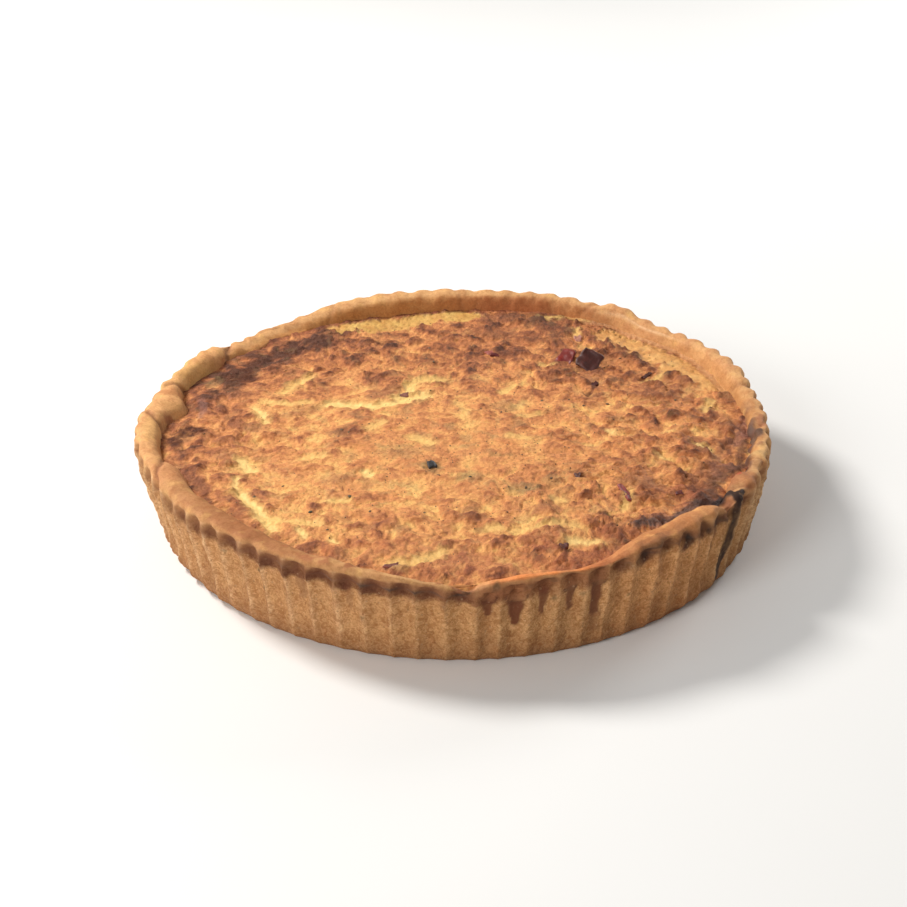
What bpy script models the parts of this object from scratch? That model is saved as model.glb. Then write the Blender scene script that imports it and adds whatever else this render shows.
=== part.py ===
"""A deep round quiche: a fluted shortcrust case, baked custard filling, and two
chips of cured meat standing in its top. Metres, +Z up, resting on z = 0.

The origin is the middle of the outline at the base. The lengths below are in
millimetres and MM turns them into metres. Azimuths are degrees, counterclockwise
from +X; -90 is the front.
"""
import math
import random

import bmesh
import bpy
import numpy as np
from mathutils import Matrix, Vector

MM = 0.001

# --- Driving dimensions of the case -----------------------------------------
RIM_RADIUS = 125.0      # ridge tips where the wall meets the rolled rim
BASE_RADIUS = 119.0     # ridge tips at the foot
SEAM_HEIGHT = 31.8      # where the wall ends and the rolled rim starts
CREST_HEIGHT = 38.6     # top of the rolled rim
INNER_RADIUS = 116.9    # where the custard meets the rim
FLOOR_THICKNESS = 4.5
FOOT_INSET = 8.4        # from the foot's ridges in to the floor's edge
FLUTES = 78
RIDGE_PHASE = 0.5       # azimuth of the first ridge
FLUTE_DEPTH = 1.8       # hollow between two ridges, under the rim
DENT_DEPTH = 2.1        # thumb-like hollow under the rim, one in each flute
STEPS_PER_FLUTE = 4

# --- Driving dimensions of the filling --------------------------------------
FILL_HEIGHT = 33.6      # mean level of the custard
FILL_GAP = 0.4          # clearance between the custard and the case
FILL_RINGS = ((0.93, 2), (0.84, 2), (0.73, 1), (0.61, 1), (0.48, 1), (0.34, 0.5), (0.18, 0.25))

# --- The rim's own shape: azimuth, half-width (degrees), then in mm the rise of
# the crest, of the seam, the outward shift, and how far the roll reaches in ----
RIM_FEATURES = (
    (108, 26, 0.6, 0.0, 0.0, 4.6),     # thick roll along the back
    (132, 14, -3.6, -1.0, -0.8, 0.5),  # sag at the back left
    (141, 4, -0.6, 0.0, -1.4, 3.2),    # swelling before the fold
    (146, 2.2, -1.2, 0.0, -1.0, 0.0),  # nick where the fold begins
    (152, 7, 1.0, 0.5, 0.2, 2.2),      # bulging fold at the back left
    (174, 4.5, -0.6, 0.0, 0.0, 6.4),   # tongue of dough turned in at the left
    (187, 15, 0.6, 0.0, 3.6, -1.0),    # flat lap at the left, pushed outwards
    (203, 4, 0.8, 0.0, 0.0, 3.0),      # end of the lap, folded over
    (226, 19, 0.6, 0.4, 0.0, 4.6),     # broad smooth roll along the left front
    (212, 6, -0.6, -2.6, 0.0, 0.0),    # seam dips at the left
    (263, 15, -2.6, -0.6, 0.0, -2.6),  # rim thins along the front
    (272, 7, -1.8, -2.2, 0.0, -1.2),   # notch at the front
    (288, 9, -0.6, 0.6, 0.0, -3.0),    # overflowed stretch, right of the notch
    (306, 10, 1.0, 2.4, 0.0, 4.2),     # roll rises at the right front
    (318, 7, 1.4, 0.0, 0.0, 2.6),      # curled end of that roll
    (325, 2.6, -3.6, -1.0, 0.0, -1.0), # split where juice ran out
    (334, 5, -0.4, 0.0, 0.4, 1.4),     # lump right of the split
    (347, 6, 0.2, 0.0, 0.3, -0.6),     # lump at the right
    (22, 9, 1.0, 0.0, 3.0, 0.8),       # bulge at the right, towards the back
    (30, 13, 0.2, 0.0, 0.2, -3.0),     # thin stretch at the back right
    (54, 5, 2.6, 0.8, 0.6, -1.6),      # step at the back right
    (68, 10, 0.6, 0.0, 0.0, -2.8),     # thin stretch at the back
    (84, 26, 1.2, 0.0, 0.5, 0.0),      # the back stands a little higher
)

# --- The custard's broad swells: x, y, radius, rise (mm) --------------------
SWELLS = (
    (-8, -6, 46, 0.9), (62, -44, 26, 1.8), (84, -14, 18, 1.2), (30, -76, 24, 1.2),
    (-62, 20, 26, -0.8), (-74, -30, 18, -1.4), (-40, 62, 22, 0.8), (40, 78, 20, 0.9),
    (-20, -88, 18, 0.8), (78, 44, 16, -1.4), (-24, 100, 16, -1.6), (6, 40, 24, -0.6),
)
SMALL_SWELLS = 46       # further lumps, placed by a seeded generator
SMALL_SWELL_RISE = 0.7

# --- Chips: centre, size (mm), turn about their own normal and tilt (degrees) --
CHIPS = {
    "dark_chip": ((57.0, 55.6, 36.7), (9.2, 8.8, 1.7), 47, 30, 4),
    "red_chip": ((47.4, 59.2, 35.2), (9.0, 6.4, 1.7), 62, 24, -12),
}
CHIP_GAP = 0.35
CHIP_BEVEL = 0.35

NAMES = ("crust", "filling")
COLOURS = {             # base colour (linear), roughness
    "crust": ((0.55, 0.29, 0.11), 0.75),
    "filling": ((0.56, 0.22, 0.06), 0.55),
    "dark_chip": ((0.035, 0.018, 0.014), 0.5),
    "red_chip": ((0.22, 0.03, 0.02), 0.45),
}


def away(azimuth, centre):
    """Signed degrees from centre to azimuth."""
    return (np.asarray(azimuth, float) - centre + 180.0) % 360.0 - 180.0


def feature(azimuth, column):
    """The sum of one column of RIM_FEATURES at these azimuths, in mm."""
    total = np.zeros_like(np.asarray(azimuth, float))
    for row in RIM_FEATURES:
        total += row[2 + column] * np.exp(-(away(azimuth, row[0]) / row[1]) ** 2)
    return total


def crest(azimuth):
    return CREST_HEIGHT + feature(azimuth, 0)


def seam(azimuth):
    return SEAM_HEIGHT + feature(azimuth, 1)


def outer(azimuth):
    return feature(azimuth, 2)


def inner(azimuth):
    return INNER_RADIUS - feature(azimuth, 3)


def fill_edge(azimuth):
    """Height at which the custard meets the case."""
    return np.minimum(FILL_HEIGHT - 0.4, crest(azimuth) - 2.0)


def wall_radius(height):
    return BASE_RADIUS + (RIM_RADIUS - BASE_RADIUS) * np.minimum(height / SEAM_HEIGHT, 1.0)


def flute_table():
    """Ridge azimuths, slightly uneven, and each flute's hollow and dent."""
    rng = random.Random(78)
    pitch = 360.0 / FLUTES
    ridges = [RIDGE_PHASE + pitch * (k + rng.uniform(-0.07, 0.07)) for k in range(FLUTES)]
    ridges.append(ridges[0] + 360.0)
    hollow = [FLUTE_DEPTH * rng.uniform(0.8, 1.1) for _ in range(FLUTES)]
    dent = [DENT_DEPTH * rng.uniform(0.6, 1.15) for _ in range(FLUTES)]
    return ridges, hollow, dent


def crust_rings():
    """Closed rings of the case's surface, from the foot over the rim to the floor."""
    ridges, hollow, dent = flute_table()
    azimuth, depth, press = [], [], []
    for k in range(FLUTES):
        for step in range(STEPS_PER_FLUTE):
            u = step / STEPS_PER_FLUTE
            scallop = 1.0 - abs(2.0 * u - 1.0) ** 2.2
            azimuth.append(ridges[k] + (ridges[k + 1] - ridges[k]) * u)
            depth.append(hollow[k] * scallop)
            press.append(dent[k] * scallop)
    azimuth, depth, press = map(np.array, (azimuth, depth, press))
    low, top, swell, rim_in = seam(azimuth), crest(azimuth), outer(azimuth), inner(azimuth)
    rise = top - low
    edge = RIM_RADIUS + swell
    roll = edge - rim_in
    flat = np.zeros_like(azimuth)

    def on_wall(share):
        height = low * share
        return wall_radius(height) + swell * share, height

    rings = [(BASE_RADIUS - 1.3 - 0.3 * depth, flat),
             (BASE_RADIUS - 0.2 - 0.5 * depth, flat + 1.1)]
    for share, part in ((0.36, 0.8), (0.80, 1.0)):
        radius, height = on_wall(share)
        rings.append((radius - part * depth, height))
    rings += [
        (edge - depth - 0.25 * press, low),
        (edge - 0.2 - depth - press, low + 0.34 * rise),
        (edge - 0.04 * roll - 0.75 * depth - 0.6 * press, low + 0.70 * rise),
        (edge - 0.15 * roll - 0.55 * depth, low + 0.94 * rise),
        (edge - 0.45 * roll - 0.15 * depth, top),
        (edge - 0.78 * roll, top - 1.4),
        (rim_in, fill_edge(azimuth)),
        (flat + BASE_RADIUS - FOOT_INSET, flat + FLOOR_THICKNESS),
    ]
    return azimuth, rings


def ring_points(azimuth, radius, height):
    a = np.radians(azimuth)
    radius = np.broadcast_to(radius, a.shape)
    height = np.broadcast_to(height, a.shape)
    return [Vector((r * math.cos(t), r * math.sin(t), h)) * MM for r, t, h in zip(radius, a, height)]


def stitch(bm, lower, upper):
    """Faces between two closed rings, the second having as many points or half."""
    n, m = len(lower), len(upper)
    if n == m:
        for i in range(n):
            j = (i + 1) % n
            bm.faces.new((lower[i], lower[j], upper[j]))
            bm.faces.new((lower[i], upper[j], upper[i]))
        return
    for i in range(m):
        a, b, c = lower[2 * i], lower[2 * i + 1], lower[(2 * i + 2) % n]
        d, e = upper[i], upper[(i + 1) % m]
        bm.faces.new((a, b, d))
        bm.faces.new((b, e, d))
        bm.faces.new((b, c, e))


def cap(bm, ring, height, up):
    middle = bm.verts.new((0.0, 0.0, height * MM))
    for i in range(len(ring)):
        j = (i + 1) % len(ring)
        bm.faces.new((ring[i], ring[j], middle) if up else (ring[j], ring[i], middle))


def material(name):
    colour, rough = COLOURS[name]
    made = bpy.data.materials.new(name)
    made.use_nodes = True
    shader = made.node_tree.nodes["Principled BSDF"]
    shader.inputs["Base Color"].default_value = (*colour, 1.0)
    shader.inputs["Roughness"].default_value = rough
    shader.inputs["Metallic"].default_value = 0.0
    made.diffuse_color = (*colour, 1.0)
    return made


def add_object(name, bm, smooth=True):
    mesh = bpy.data.meshes.new(name)
    bm.to_mesh(mesh)
    bm.free()
    if smooth:
        mesh.shade_smooth()
        mesh.set_sharp_from_angle(angle=math.radians(38))
    thing = bpy.data.objects.new(name, mesh)
    bpy.context.scene.collection.objects.link(thing)
    return thing


def make_crust(shift):
    azimuth, rings = crust_rings()
    bm = bmesh.new()
    made = [[bm.verts.new(p + shift) for p in ring_points(azimuth, r, h)] for r, h in rings]
    for lower, upper in zip(made, made[1:]):
        stitch(bm, lower, upper)
    cap(bm, made[0], 0.0, up=False)
    cap(bm, made[-1], FLOOR_THICKNESS, up=True)
    thing = add_object("crust", bm)
    thing.data.materials.append(material("crust"))
    return thing


def custard_swells():
    rng = random.Random(31)
    rows = list(SWELLS)
    for _ in range(SMALL_SWELLS):
        r, a = 104.0 * math.sqrt(rng.random()), rng.uniform(0.0, 2.0 * math.pi)
        rows.append((r * math.cos(a), r * math.sin(a), rng.uniform(7.0, 13.0),
                     SMALL_SWELL_RISE * rng.uniform(-1.0, 1.2)))
    return rows


def custard_height(x, y, rows):
    """Height of the custard's top at (x, y), in mm, away from its edge."""
    return FILL_HEIGHT + sum(h * math.exp(-((x - cx) ** 2 + (y - cy) ** 2) / s ** 2)
                             for cx, cy, s, h in rows)


def make_filling(shift):
    azimuth, _ = crust_rings()
    around = azimuth[::2]
    # the custard clears the case at the points between its own as well
    full = inner(azimuth)
    rim_in = np.minimum(full, np.minimum(np.roll(full, 1), np.roll(full, -1)))[::2]
    edge = fill_edge(around)
    bm = bmesh.new()
    foot = BASE_RADIUS - FOOT_INSET - FILL_GAP
    rings = [(around, foot, FLOOR_THICKNESS + FILL_GAP, False),
             (around, rim_in - FILL_GAP, edge - 0.3, False)]
    for share, density in FILL_RINGS:
        az = {2: around, 1: around[::2], 0.5: around[::4], 0.25: around[::8]}[density]
        # 156 points halve to 78, and 78 to 39; the inner rings keep 39
        if density < 1:
            az = around[::4]
        rings.append((az, share * inner(az), None, True))
    rows = custard_swells()
    made = []
    for az, radius, height, relief in rings:
        if relief:
            a = np.radians(az)
            height = [custard_height(r * math.cos(t), r * math.sin(t), rows)
                      for r, t in zip(np.broadcast_to(radius, a.shape), a)]
        made.append([bm.verts.new(p + shift) for p in ring_points(az, radius, height)])
    for lower, upper in zip(made, made[1:]):
        stitch(bm, lower, upper)
    cap(bm, made[0], FLOOR_THICKNESS + FILL_GAP, up=False)
    cap(bm, made[-1], custard_height(0.0, 0.0, rows), up=True)
    thing = add_object("filling", bm)
    thing.data.materials.append(material("filling"))
    return thing


def chip_block(name, margin, bevel, taller=0.0):
    """A chip as a thin block with slightly uneven corners, in its own frame."""
    size = CHIPS[name][1]
    half = [0.5 * s + margin for s in size]
    bm = bmesh.new()
    corners = []
    for sz in (-1, 1):
        for i, (sx, sy) in enumerate(((-1, -1), (1, -1), (1, 1), (-1, 1))):
            wobble = 1.0 - 0.05 * (i % 2)
            z = sz * half[2] + (taller if sz > 0 else 0.0)
            corners.append(bm.verts.new((sx * half[0] * wobble * MM, sy * half[1] * MM, z * MM)))
    b, t = corners[:4], corners[4:]
    bm.faces.new(b[::-1])
    bm.faces.new(t)
    for i in range(4):
        j = (i + 1) % 4
        bm.faces.new((b[i], b[j], t[j], t[i]))
    if bevel:
        bmesh.ops.bevel(bm, geom=list(bm.edges), offset=bevel * MM, segments=2,
                        profile=0.5, affect="EDGES")
    return bm


def chip_matrix(name, shift):
    centre, _, turn, tilt, roll = CHIPS[name]
    return (Matrix.Translation(Vector(centre) * MM + shift)
            @ Matrix.Rotation(math.radians(tilt), 4, "X")
            @ Matrix.Rotation(math.radians(roll), 4, "Y")
            @ Matrix.Rotation(math.radians(turn), 4, "Z"))


def make_chip(name, filling, shift):
    place = chip_matrix(name, shift)
    thing = add_object(name, chip_block(name, 0.0, CHIP_BEVEL))
    thing.matrix_world = place
    thing.data.materials.append(material(name))
    pocket = add_object(name + "_pocket", chip_block(name, CHIP_GAP, 0.0, taller=6.0), smooth=False)
    pocket.matrix_world = place
    pocket.hide_render = True
    pocket.display_type = "WIRE"
    cut = filling.modifiers.new(name + "_pocket", "BOOLEAN")
    cut.operation = "DIFFERENCE"
    cut.solver = "EXACT"
    cut.object = pocket
    return thing


def centring_shift():
    """Moves the uneven outline so that the middle of its box is on the origin."""
    azimuth, rings = crust_rings()
    a = np.radians(azimuth)
    x = np.concatenate([r * np.cos(a) for r, _ in rings])
    y = np.concatenate([r * np.sin(a) for r, _ in rings])
    return Vector((-(x.min() + x.max()) / 2.0, -(y.min() + y.max()) / 2.0, 0.0)) * MM


def main():
    for old in list(bpy.data.objects):
        bpy.data.objects.remove(old, do_unlink=True)
    shift = centring_shift()
    make_crust(shift)
    filling = make_filling(shift)
    for name in CHIPS:
        make_chip(name, filling, shift)


main()
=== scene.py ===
"""Looks of a deep round quiche: a fluted shortcrust case with a rolled rim, a browned
custard filling, two standing chips of cured meat, smaller bits, herb flecks and crumbs.

Lengths below are millimetres in the case's own plan frame, X to the right, Y away from
the camera; SHIFT moves that frame so that the outline's middle is on the origin.
"""
import math
import random

import bpy
import numpy as np
from mathutils import Matrix, Vector


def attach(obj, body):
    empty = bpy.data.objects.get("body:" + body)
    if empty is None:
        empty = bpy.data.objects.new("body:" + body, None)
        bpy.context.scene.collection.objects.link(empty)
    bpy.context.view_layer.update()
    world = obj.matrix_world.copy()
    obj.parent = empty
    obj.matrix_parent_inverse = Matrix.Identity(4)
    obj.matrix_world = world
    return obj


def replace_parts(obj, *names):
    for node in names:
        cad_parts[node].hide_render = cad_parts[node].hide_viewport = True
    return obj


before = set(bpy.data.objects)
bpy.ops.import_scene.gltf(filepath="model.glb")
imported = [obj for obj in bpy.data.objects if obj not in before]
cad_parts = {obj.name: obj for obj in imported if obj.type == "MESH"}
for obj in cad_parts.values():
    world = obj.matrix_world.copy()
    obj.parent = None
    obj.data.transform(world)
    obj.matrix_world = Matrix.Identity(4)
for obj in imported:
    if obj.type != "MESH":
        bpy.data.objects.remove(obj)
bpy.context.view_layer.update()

MM = 0.001

# --- The case and the custard, as the solids have them ------------------------
RIM_RADIUS = 125.0
BASE_RADIUS = 119.0
SEAM_HEIGHT = 31.8
CREST_HEIGHT = 38.6
INNER_RADIUS = 116.9
FLOOR_THICKNESS = 4.5
FOOT_INSET = 8.4
FLUTES = 78
RIDGE_PHASE = 0.5
FLUTE_DEPTH = 1.8
DENT_DEPTH = 2.1
FILL_HEIGHT = 33.6
FILL_GAP = 0.4
STEPS = 16              # points to a flute, around
RIM_FEATURES = (        # azimuth, half-width, rise of crest and seam, outward shift, reach in
    (108, 26, 0.6, 0.0, 0.0, 4.6), (132, 14, -3.6, -1.0, -0.8, 0.5), (141, 4, -0.6, 0.0, -1.4, 3.2),
    (146, 2.2, -1.2, 0.0, -1.0, 0.0), (152, 7, 1.0, 0.5, 0.2, 2.2), (174, 4.5, -0.6, 0.0, 0.0, 6.4),
    (187, 15, 0.6, 0.0, 3.6, -1.0), (203, 4, 0.8, 0.0, 0.0, 3.0), (226, 19, 0.6, 0.4, 0.0, 4.6),
    (212, 6, -0.6, -2.6, 0.0, 0.0), (263, 15, -2.6, -0.6, 0.0, -2.6), (272, 7, -1.8, -2.2, 0.0, -1.2),
    (288, 9, -0.6, 0.6, 0.0, -3.0), (306, 10, 1.0, 2.4, 0.0, 4.2), (318, 7, 1.4, 0.0, 0.0, 2.6),
    (325, 2.6, -3.6, -1.0, 0.0, -1.0), (334, 5, -0.4, 0.0, 0.4, 1.4), (347, 6, 0.2, 0.0, 0.3, -0.6),
    (22, 9, 1.0, 0.0, 3.0, 0.8), (30, 13, 0.2, 0.0, 0.2, -3.0), (54, 5, 2.6, 0.8, 0.6, -1.6),
    (68, 10, 0.6, 0.0, 0.0, -2.8), (84, 26, 1.2, 0.0, 0.5, 0.0),
)
SWELLS = (
    (-8, -6, 46, 0.9), (62, -44, 26, 1.8), (84, -14, 18, 1.2), (30, -76, 24, 1.2),
    (-62, 20, 26, -0.8), (-74, -30, 18, -1.4), (-40, 62, 22, 0.8), (40, 78, 20, 0.9),
    (-20, -88, 18, 0.8), (78, 44, 16, -1.4), (-24, 100, 16, -1.6), (6, 40, 24, -0.6),
)
SMALL_SWELLS = 46
SMALL_SWELL_RISE = 0.7
CHIPS = {
    "dark_chip": ((57.0, 55.6, 36.7), (9.2, 8.8, 1.7), 47, 30, 4),
    "red_chip": ((47.4, 59.2, 35.2), (9.0, 6.4, 1.7), 62, 24, -12),
}


def away(azimuth, centre):
    return (np.asarray(azimuth, float) - centre + 180.0) % 360.0 - 180.0


def feature(azimuth, column):
    total = np.zeros_like(np.asarray(azimuth, float))
    for row in RIM_FEATURES:
        total += row[2 + column] * np.exp(-(away(azimuth, row[0]) / row[1]) ** 2)
    return total


def crest(azimuth):
    return CREST_HEIGHT + feature(azimuth, 0)


def seam(azimuth):
    return SEAM_HEIGHT + feature(azimuth, 1)


def outer(azimuth):
    return feature(azimuth, 2)


def inner(azimuth):
    return INNER_RADIUS - feature(azimuth, 3)


def fill_edge(azimuth):
    return np.minimum(FILL_HEIGHT - 0.4, crest(azimuth) - 2.0)


def wall_radius(height):
    return BASE_RADIUS + (RIM_RADIUS - BASE_RADIUS) * np.minimum(height / SEAM_HEIGHT, 1.0)


def flute_table():
    rng = random.Random(78)
    pitch = 360.0 / FLUTES
    ridges = [RIDGE_PHASE + pitch * (k + rng.uniform(-0.07, 0.07)) for k in range(FLUTES)]
    ridges.append(ridges[0] + 360.0)
    hollow = [FLUTE_DEPTH * rng.uniform(0.8, 1.1) for _ in range(FLUTES)]
    dent = [DENT_DEPTH * rng.uniform(0.6, 1.15) for _ in range(FLUTES)]
    return ridges, hollow, dent


def crust_controls(steps):
    """Azimuths, place in the flute, depths and the twelve rings that the profile passes."""
    ridges, hollow, dent = flute_table()
    azimuth, depth, press, place, flute = [], [], [], [], []
    for k in range(FLUTES):
        for step in range(steps):
            u = step / steps
            scallop = 1.0 - abs(2.0 * u - 1.0) ** 2.2
            azimuth.append(ridges[k] + (ridges[k + 1] - ridges[k]) * u)
            depth.append(hollow[k] * scallop)
            press.append(dent[k] * scallop)
            place.append(u)
            flute.append(k)
    azimuth, depth, press = map(np.array, (azimuth, depth, press))
    low, top, swell, rim_in = seam(azimuth), crest(azimuth), outer(azimuth), inner(azimuth)
    rise = top - low
    edge = RIM_RADIUS + swell
    roll = edge - rim_in
    flat = np.zeros_like(azimuth)
    rings = [(BASE_RADIUS - 1.3 - 0.3 * depth, flat), (BASE_RADIUS - 0.2 - 0.5 * depth, flat + 1.1)]
    for share, part in ((0.36, 0.8), (0.80, 1.0)):
        height = low * share
        rings.append((wall_radius(height) + swell * share - part * depth, height))
    rings += [
        (edge - depth - 0.25 * press, low),
        (edge - 0.2 - depth - press, low + 0.34 * rise),
        (edge - 0.04 * roll - 0.75 * depth - 0.6 * press, low + 0.70 * rise),
        (edge - 0.15 * roll - 0.55 * depth, low + 0.94 * rise),
        (edge - 0.45 * roll - 0.15 * depth, top),
        (edge - 0.78 * roll, top - 1.4),
        (rim_in, fill_edge(azimuth)),
        (flat + BASE_RADIUS - FOOT_INSET, flat + FLOOR_THICKNESS),
    ]
    return azimuth, np.array(place), np.array(flute), rings


def centring_shift():
    azimuth, _, _, rings = crust_controls(4)
    a = np.radians(azimuth)
    x = np.concatenate([r * np.cos(a) for r, _ in rings])
    y = np.concatenate([r * np.sin(a) for r, _ in rings])
    return np.array([-(x.min() + x.max()) / 2.0, -(y.min() + y.max()) / 2.0, 0.0])


SHIFT = centring_shift()


# --- Noise, all of it repeatable ---------------------------------------------
def hashed(ix, iy, iz, seed):
    """A repeatable number in 0..1 for each lattice point."""
    h = (ix * 374761393 + iy * 668265263 + iz * 1440662683 + seed * 974634777) & 0xFFFFFFFF
    h = ((h ^ (h >> 13)) * 1274126177) & 0xFFFFFFFF
    h = ((h ^ (h >> 16)) * 1103515245) & 0xFFFFFFFF
    return (h ^ (h >> 15)) / 4294967296.0


def fade(t):
    return t * t * t * (t * (t * 6.0 - 15.0) + 10.0)


def grad2(x, y, scale, seed):
    """Gradient noise, about -1..1."""
    x, y = np.asarray(x) / scale, np.asarray(y) / scale
    ix, iy = np.floor(x).astype(np.int64), np.floor(y).astype(np.int64)
    fx, fy = x - ix, y - iy
    ux, uy = fade(fx), fade(fy)
    total = 0.0
    for dx in (0, 1):
        for dy in (0, 1):
            angle = 2.0 * math.pi * hashed(ix + dx, iy + dy, 0 * ix, seed)
            value = np.cos(angle) * (fx - dx) + np.sin(angle) * (fy - dy)
            total = total + value * (ux if dx else 1 - ux) * (uy if dy else 1 - uy)
    return 1.5 * total


def grad3(p, scale, seed):
    q = p / scale
    base = np.floor(q).astype(np.int64)
    f = q - base
    u = fade(f)
    total = np.zeros(len(q))
    for dx in (0, 1):
        for dy in (0, 1):
            for dz in (0, 1):
                i, j, k = base[:, 0] + dx, base[:, 1] + dy, base[:, 2] + dz
                value = sum((2.0 * hashed(i, j, k, seed + 17 * c) - 1.0) * (f[:, c] - d)
                            for c, d in enumerate((dx, dy, dz)))
                weight = ((u[:, 0] if dx else 1 - u[:, 0]) * (u[:, 1] if dy else 1 - u[:, 1])
                          * (u[:, 2] if dz else 1 - u[:, 2]))
                total += value * weight
    return 1.6 * total


def layers2(x, y, scale, seed, count=3, gain=0.5):
    total, weight, size = 0.0, 1.0, scale
    for n in range(count):
        total = total + weight * grad2(x, y, size, seed + 101 * n)
        weight *= gain
        size *= 0.49
    return total


def puffs2(x, y, scale, seed, count=3, gain=0.5):
    """Rounded lumps with sharp creases between them, about 0..1.2."""
    total, weight, size = 0.0, 1.0, scale
    for n in range(count):
        total = total + weight * np.abs(grad2(x, y, size, seed + 101 * n))
        weight *= gain
        size *= 0.49
    return total


def cells2(x, y, scale, seed):
    """Distances to the nearest and second nearest seed point, and the nearest one's number."""
    x, y = np.asarray(x) / scale, np.asarray(y) / scale
    ix, iy = np.floor(x).astype(np.int64), np.floor(y).astype(np.int64)
    near = np.full(x.shape, 9.0)
    second = np.full(x.shape, 9.0)
    number = np.zeros(x.shape)
    for dx in (-1, 0, 1):
        for dy in (-1, 0, 1):
            i, j = ix + dx, iy + dy
            px = i + 0.1 + 0.8 * hashed(i, j, 0 * i, seed)
            py = j + 0.1 + 0.8 * hashed(i, j, 0 * i + 1, seed)
            far = np.hypot(px - x, py - y)
            closer = far < near
            second = np.where(closer, near, np.minimum(second, far))
            number = np.where(closer, hashed(i, j, 0 * i + 2, seed), number)
            near = np.where(closer, far, near)
    return near, second, number


def ramp(t, low, high):
    t = np.clip((np.asarray(t, float) - low) / (high - low), 0.0, 1.0)
    return t * t * (3.0 - 2.0 * t)


def blob(x, y, cx, cy, rx, ry=None, turn=0.0):
    ry = rx if ry is None else ry
    c, s = math.cos(math.radians(turn)), math.sin(math.radians(turn))
    u, v = (x - cx) * c + (y - cy) * s, -(x - cx) * s + (y - cy) * c
    return np.exp(-(u / rx) ** 2 - (v / ry) ** 2)


def track_distance(points, path):
    """Distance from each point to a path, in two or three dimensions."""
    best = np.full(len(points), 1e9)
    for a, b in zip(path, path[1:]):
        a, b = np.array(a, float), np.array(b, float)
        d = b - a
        t = np.clip(((points - a) @ d) / max(d @ d, 1e-9), 0.0, 1.0)
        best = np.minimum(best, np.linalg.norm(points - (a + t[:, None] * d), axis=1))
    return best


def mix(colour, other, share):
    share = np.clip(share, 0.0, 1.0)[:, None]
    return colour * (1.0 - share) + np.asarray(other, float) * share


def palette(value, stops):
    at = [s[0] for s in stops]
    return np.stack([np.interp(value, at, [s[1][c] for s in stops]) for c in range(3)], axis=1)


# --- Meshes and shaders --------------------------------------------------------
def add_mesh(name, points, faces, values=None, tint=None, smooth=True):
    """points in mm in the plan frame; values are named numbers per point, tint a linear colour."""
    mesh = bpy.data.meshes.new(name)
    placed = (np.asarray(points, float) + SHIFT) * MM
    mesh.from_pydata(placed, [], np.asarray(faces).tolist() if not isinstance(faces, list) else faces)
    if tint is not None:
        layer = mesh.color_attributes.new(name="tint", type="FLOAT_COLOR", domain="POINT")
        rgba = np.concatenate([np.clip(tint, 0.0, 1.0), np.ones((len(tint), 1))], axis=1)
        layer.data.foreach_set("color", rgba.astype(np.float32).ravel())
    for key, numbers in (values or {}).items():
        layer = mesh.attributes.new(key, "FLOAT", "POINT")
        layer.data.foreach_set("value", np.clip(numbers, 0.0, 1.0).astype(np.float32))
    if smooth:
        mesh.shade_smooth()
    mesh.update()
    thing = bpy.data.objects.new(name, mesh)
    bpy.context.scene.collection.objects.link(thing)
    return thing


class Shader:
    """A Principled material, built node by node."""

    def __init__(self, name):
        self.material = bpy.data.materials.new(name)
        self.material.use_nodes = True
        self.tree = self.material.node_tree
        self.tree.nodes.clear()
        self.out = self.tree.nodes.new("ShaderNodeOutputMaterial")
        self.main = self.tree.nodes.new("ShaderNodeBsdfPrincipled")
        self.link(self.main.outputs[0], self.out.inputs[0])
        self.where = self.tree.nodes.new("ShaderNodeTexCoord").outputs["Object"]

    def link(self, a, b):
        self.tree.links.new(a, b)

    def put(self, value, socket):
        if isinstance(value, bpy.types.NodeSocket):
            self.link(value, socket)
        else:
            socket.default_value = value

    def named(self, key):
        node = self.tree.nodes.new("ShaderNodeAttribute")
        node.attribute_name = key
        return node.outputs["Color"] if key == "tint" else node.outputs["Fac"]

    def noise(self, size_mm, detail=3.0, rough=0.55, twist=0.0):
        node = self.tree.nodes.new("ShaderNodeTexNoise")
        self.link(self.where, node.inputs["Vector"])
        node.inputs["Scale"].default_value = 1000.0 / size_mm
        node.inputs["Detail"].default_value = detail
        node.inputs["Roughness"].default_value = rough
        node.inputs["Distortion"].default_value = twist
        return node.outputs[0]

    def specks(self, size_mm, smooth=False):
        node = self.tree.nodes.new("ShaderNodeTexVoronoi")
        self.link(self.where, node.inputs["Vector"])
        node.inputs["Scale"].default_value = 1000.0 / size_mm
        return node.outputs["Distance"], node.outputs["Color"]

    def math(self, what, a, b=0.0, c=0.0, clamp=False):
        node = self.tree.nodes.new("ShaderNodeMath")
        node.operation = what
        node.use_clamp = clamp
        for value, socket in zip((a, b, c), node.inputs):
            self.put(value, socket)
        return node.outputs[0]

    def span(self, value, low, high, to_low=0.0, to_high=1.0):
        node = self.tree.nodes.new("ShaderNodeMapRange")
        node.interpolation_type = "SMOOTHSTEP"
        for key, number in (("From Min", low), ("From Max", high), ("To Min", to_low), ("To Max", to_high)):
            node.inputs[key].default_value = number
        self.link(value, node.inputs["Value"])
        return node.outputs[0]

    def blend(self, share, a, b, mode="MIX"):
        node = self.tree.nodes.new("ShaderNodeMix")
        node.data_type = "RGBA"
        node.blend_type = mode
        self.put(share, node.inputs[0])
        self.put(a, node.inputs[6])
        self.put(b, node.inputs[7])
        return node.outputs[2]

    def split(self, colour):
        node = self.tree.nodes.new("ShaderNodeSeparateColor")
        self.link(colour, node.inputs[0])
        return node.outputs

    def bump(self, height, strength, distance_mm, under=None):
        node = self.tree.nodes.new("ShaderNodeBump")
        node.inputs["Distance"].default_value = distance_mm * MM
        self.put(strength, node.inputs["Strength"])
        self.link(height, node.inputs["Height"])
        if under is not None:
            self.link(under, node.inputs["Normal"])
        return node.outputs[0]

    def set(self, **values):
        for key, value in values.items():
            self.put(value, self.main.inputs[key.replace("_", " ")])
        return self.material


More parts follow.
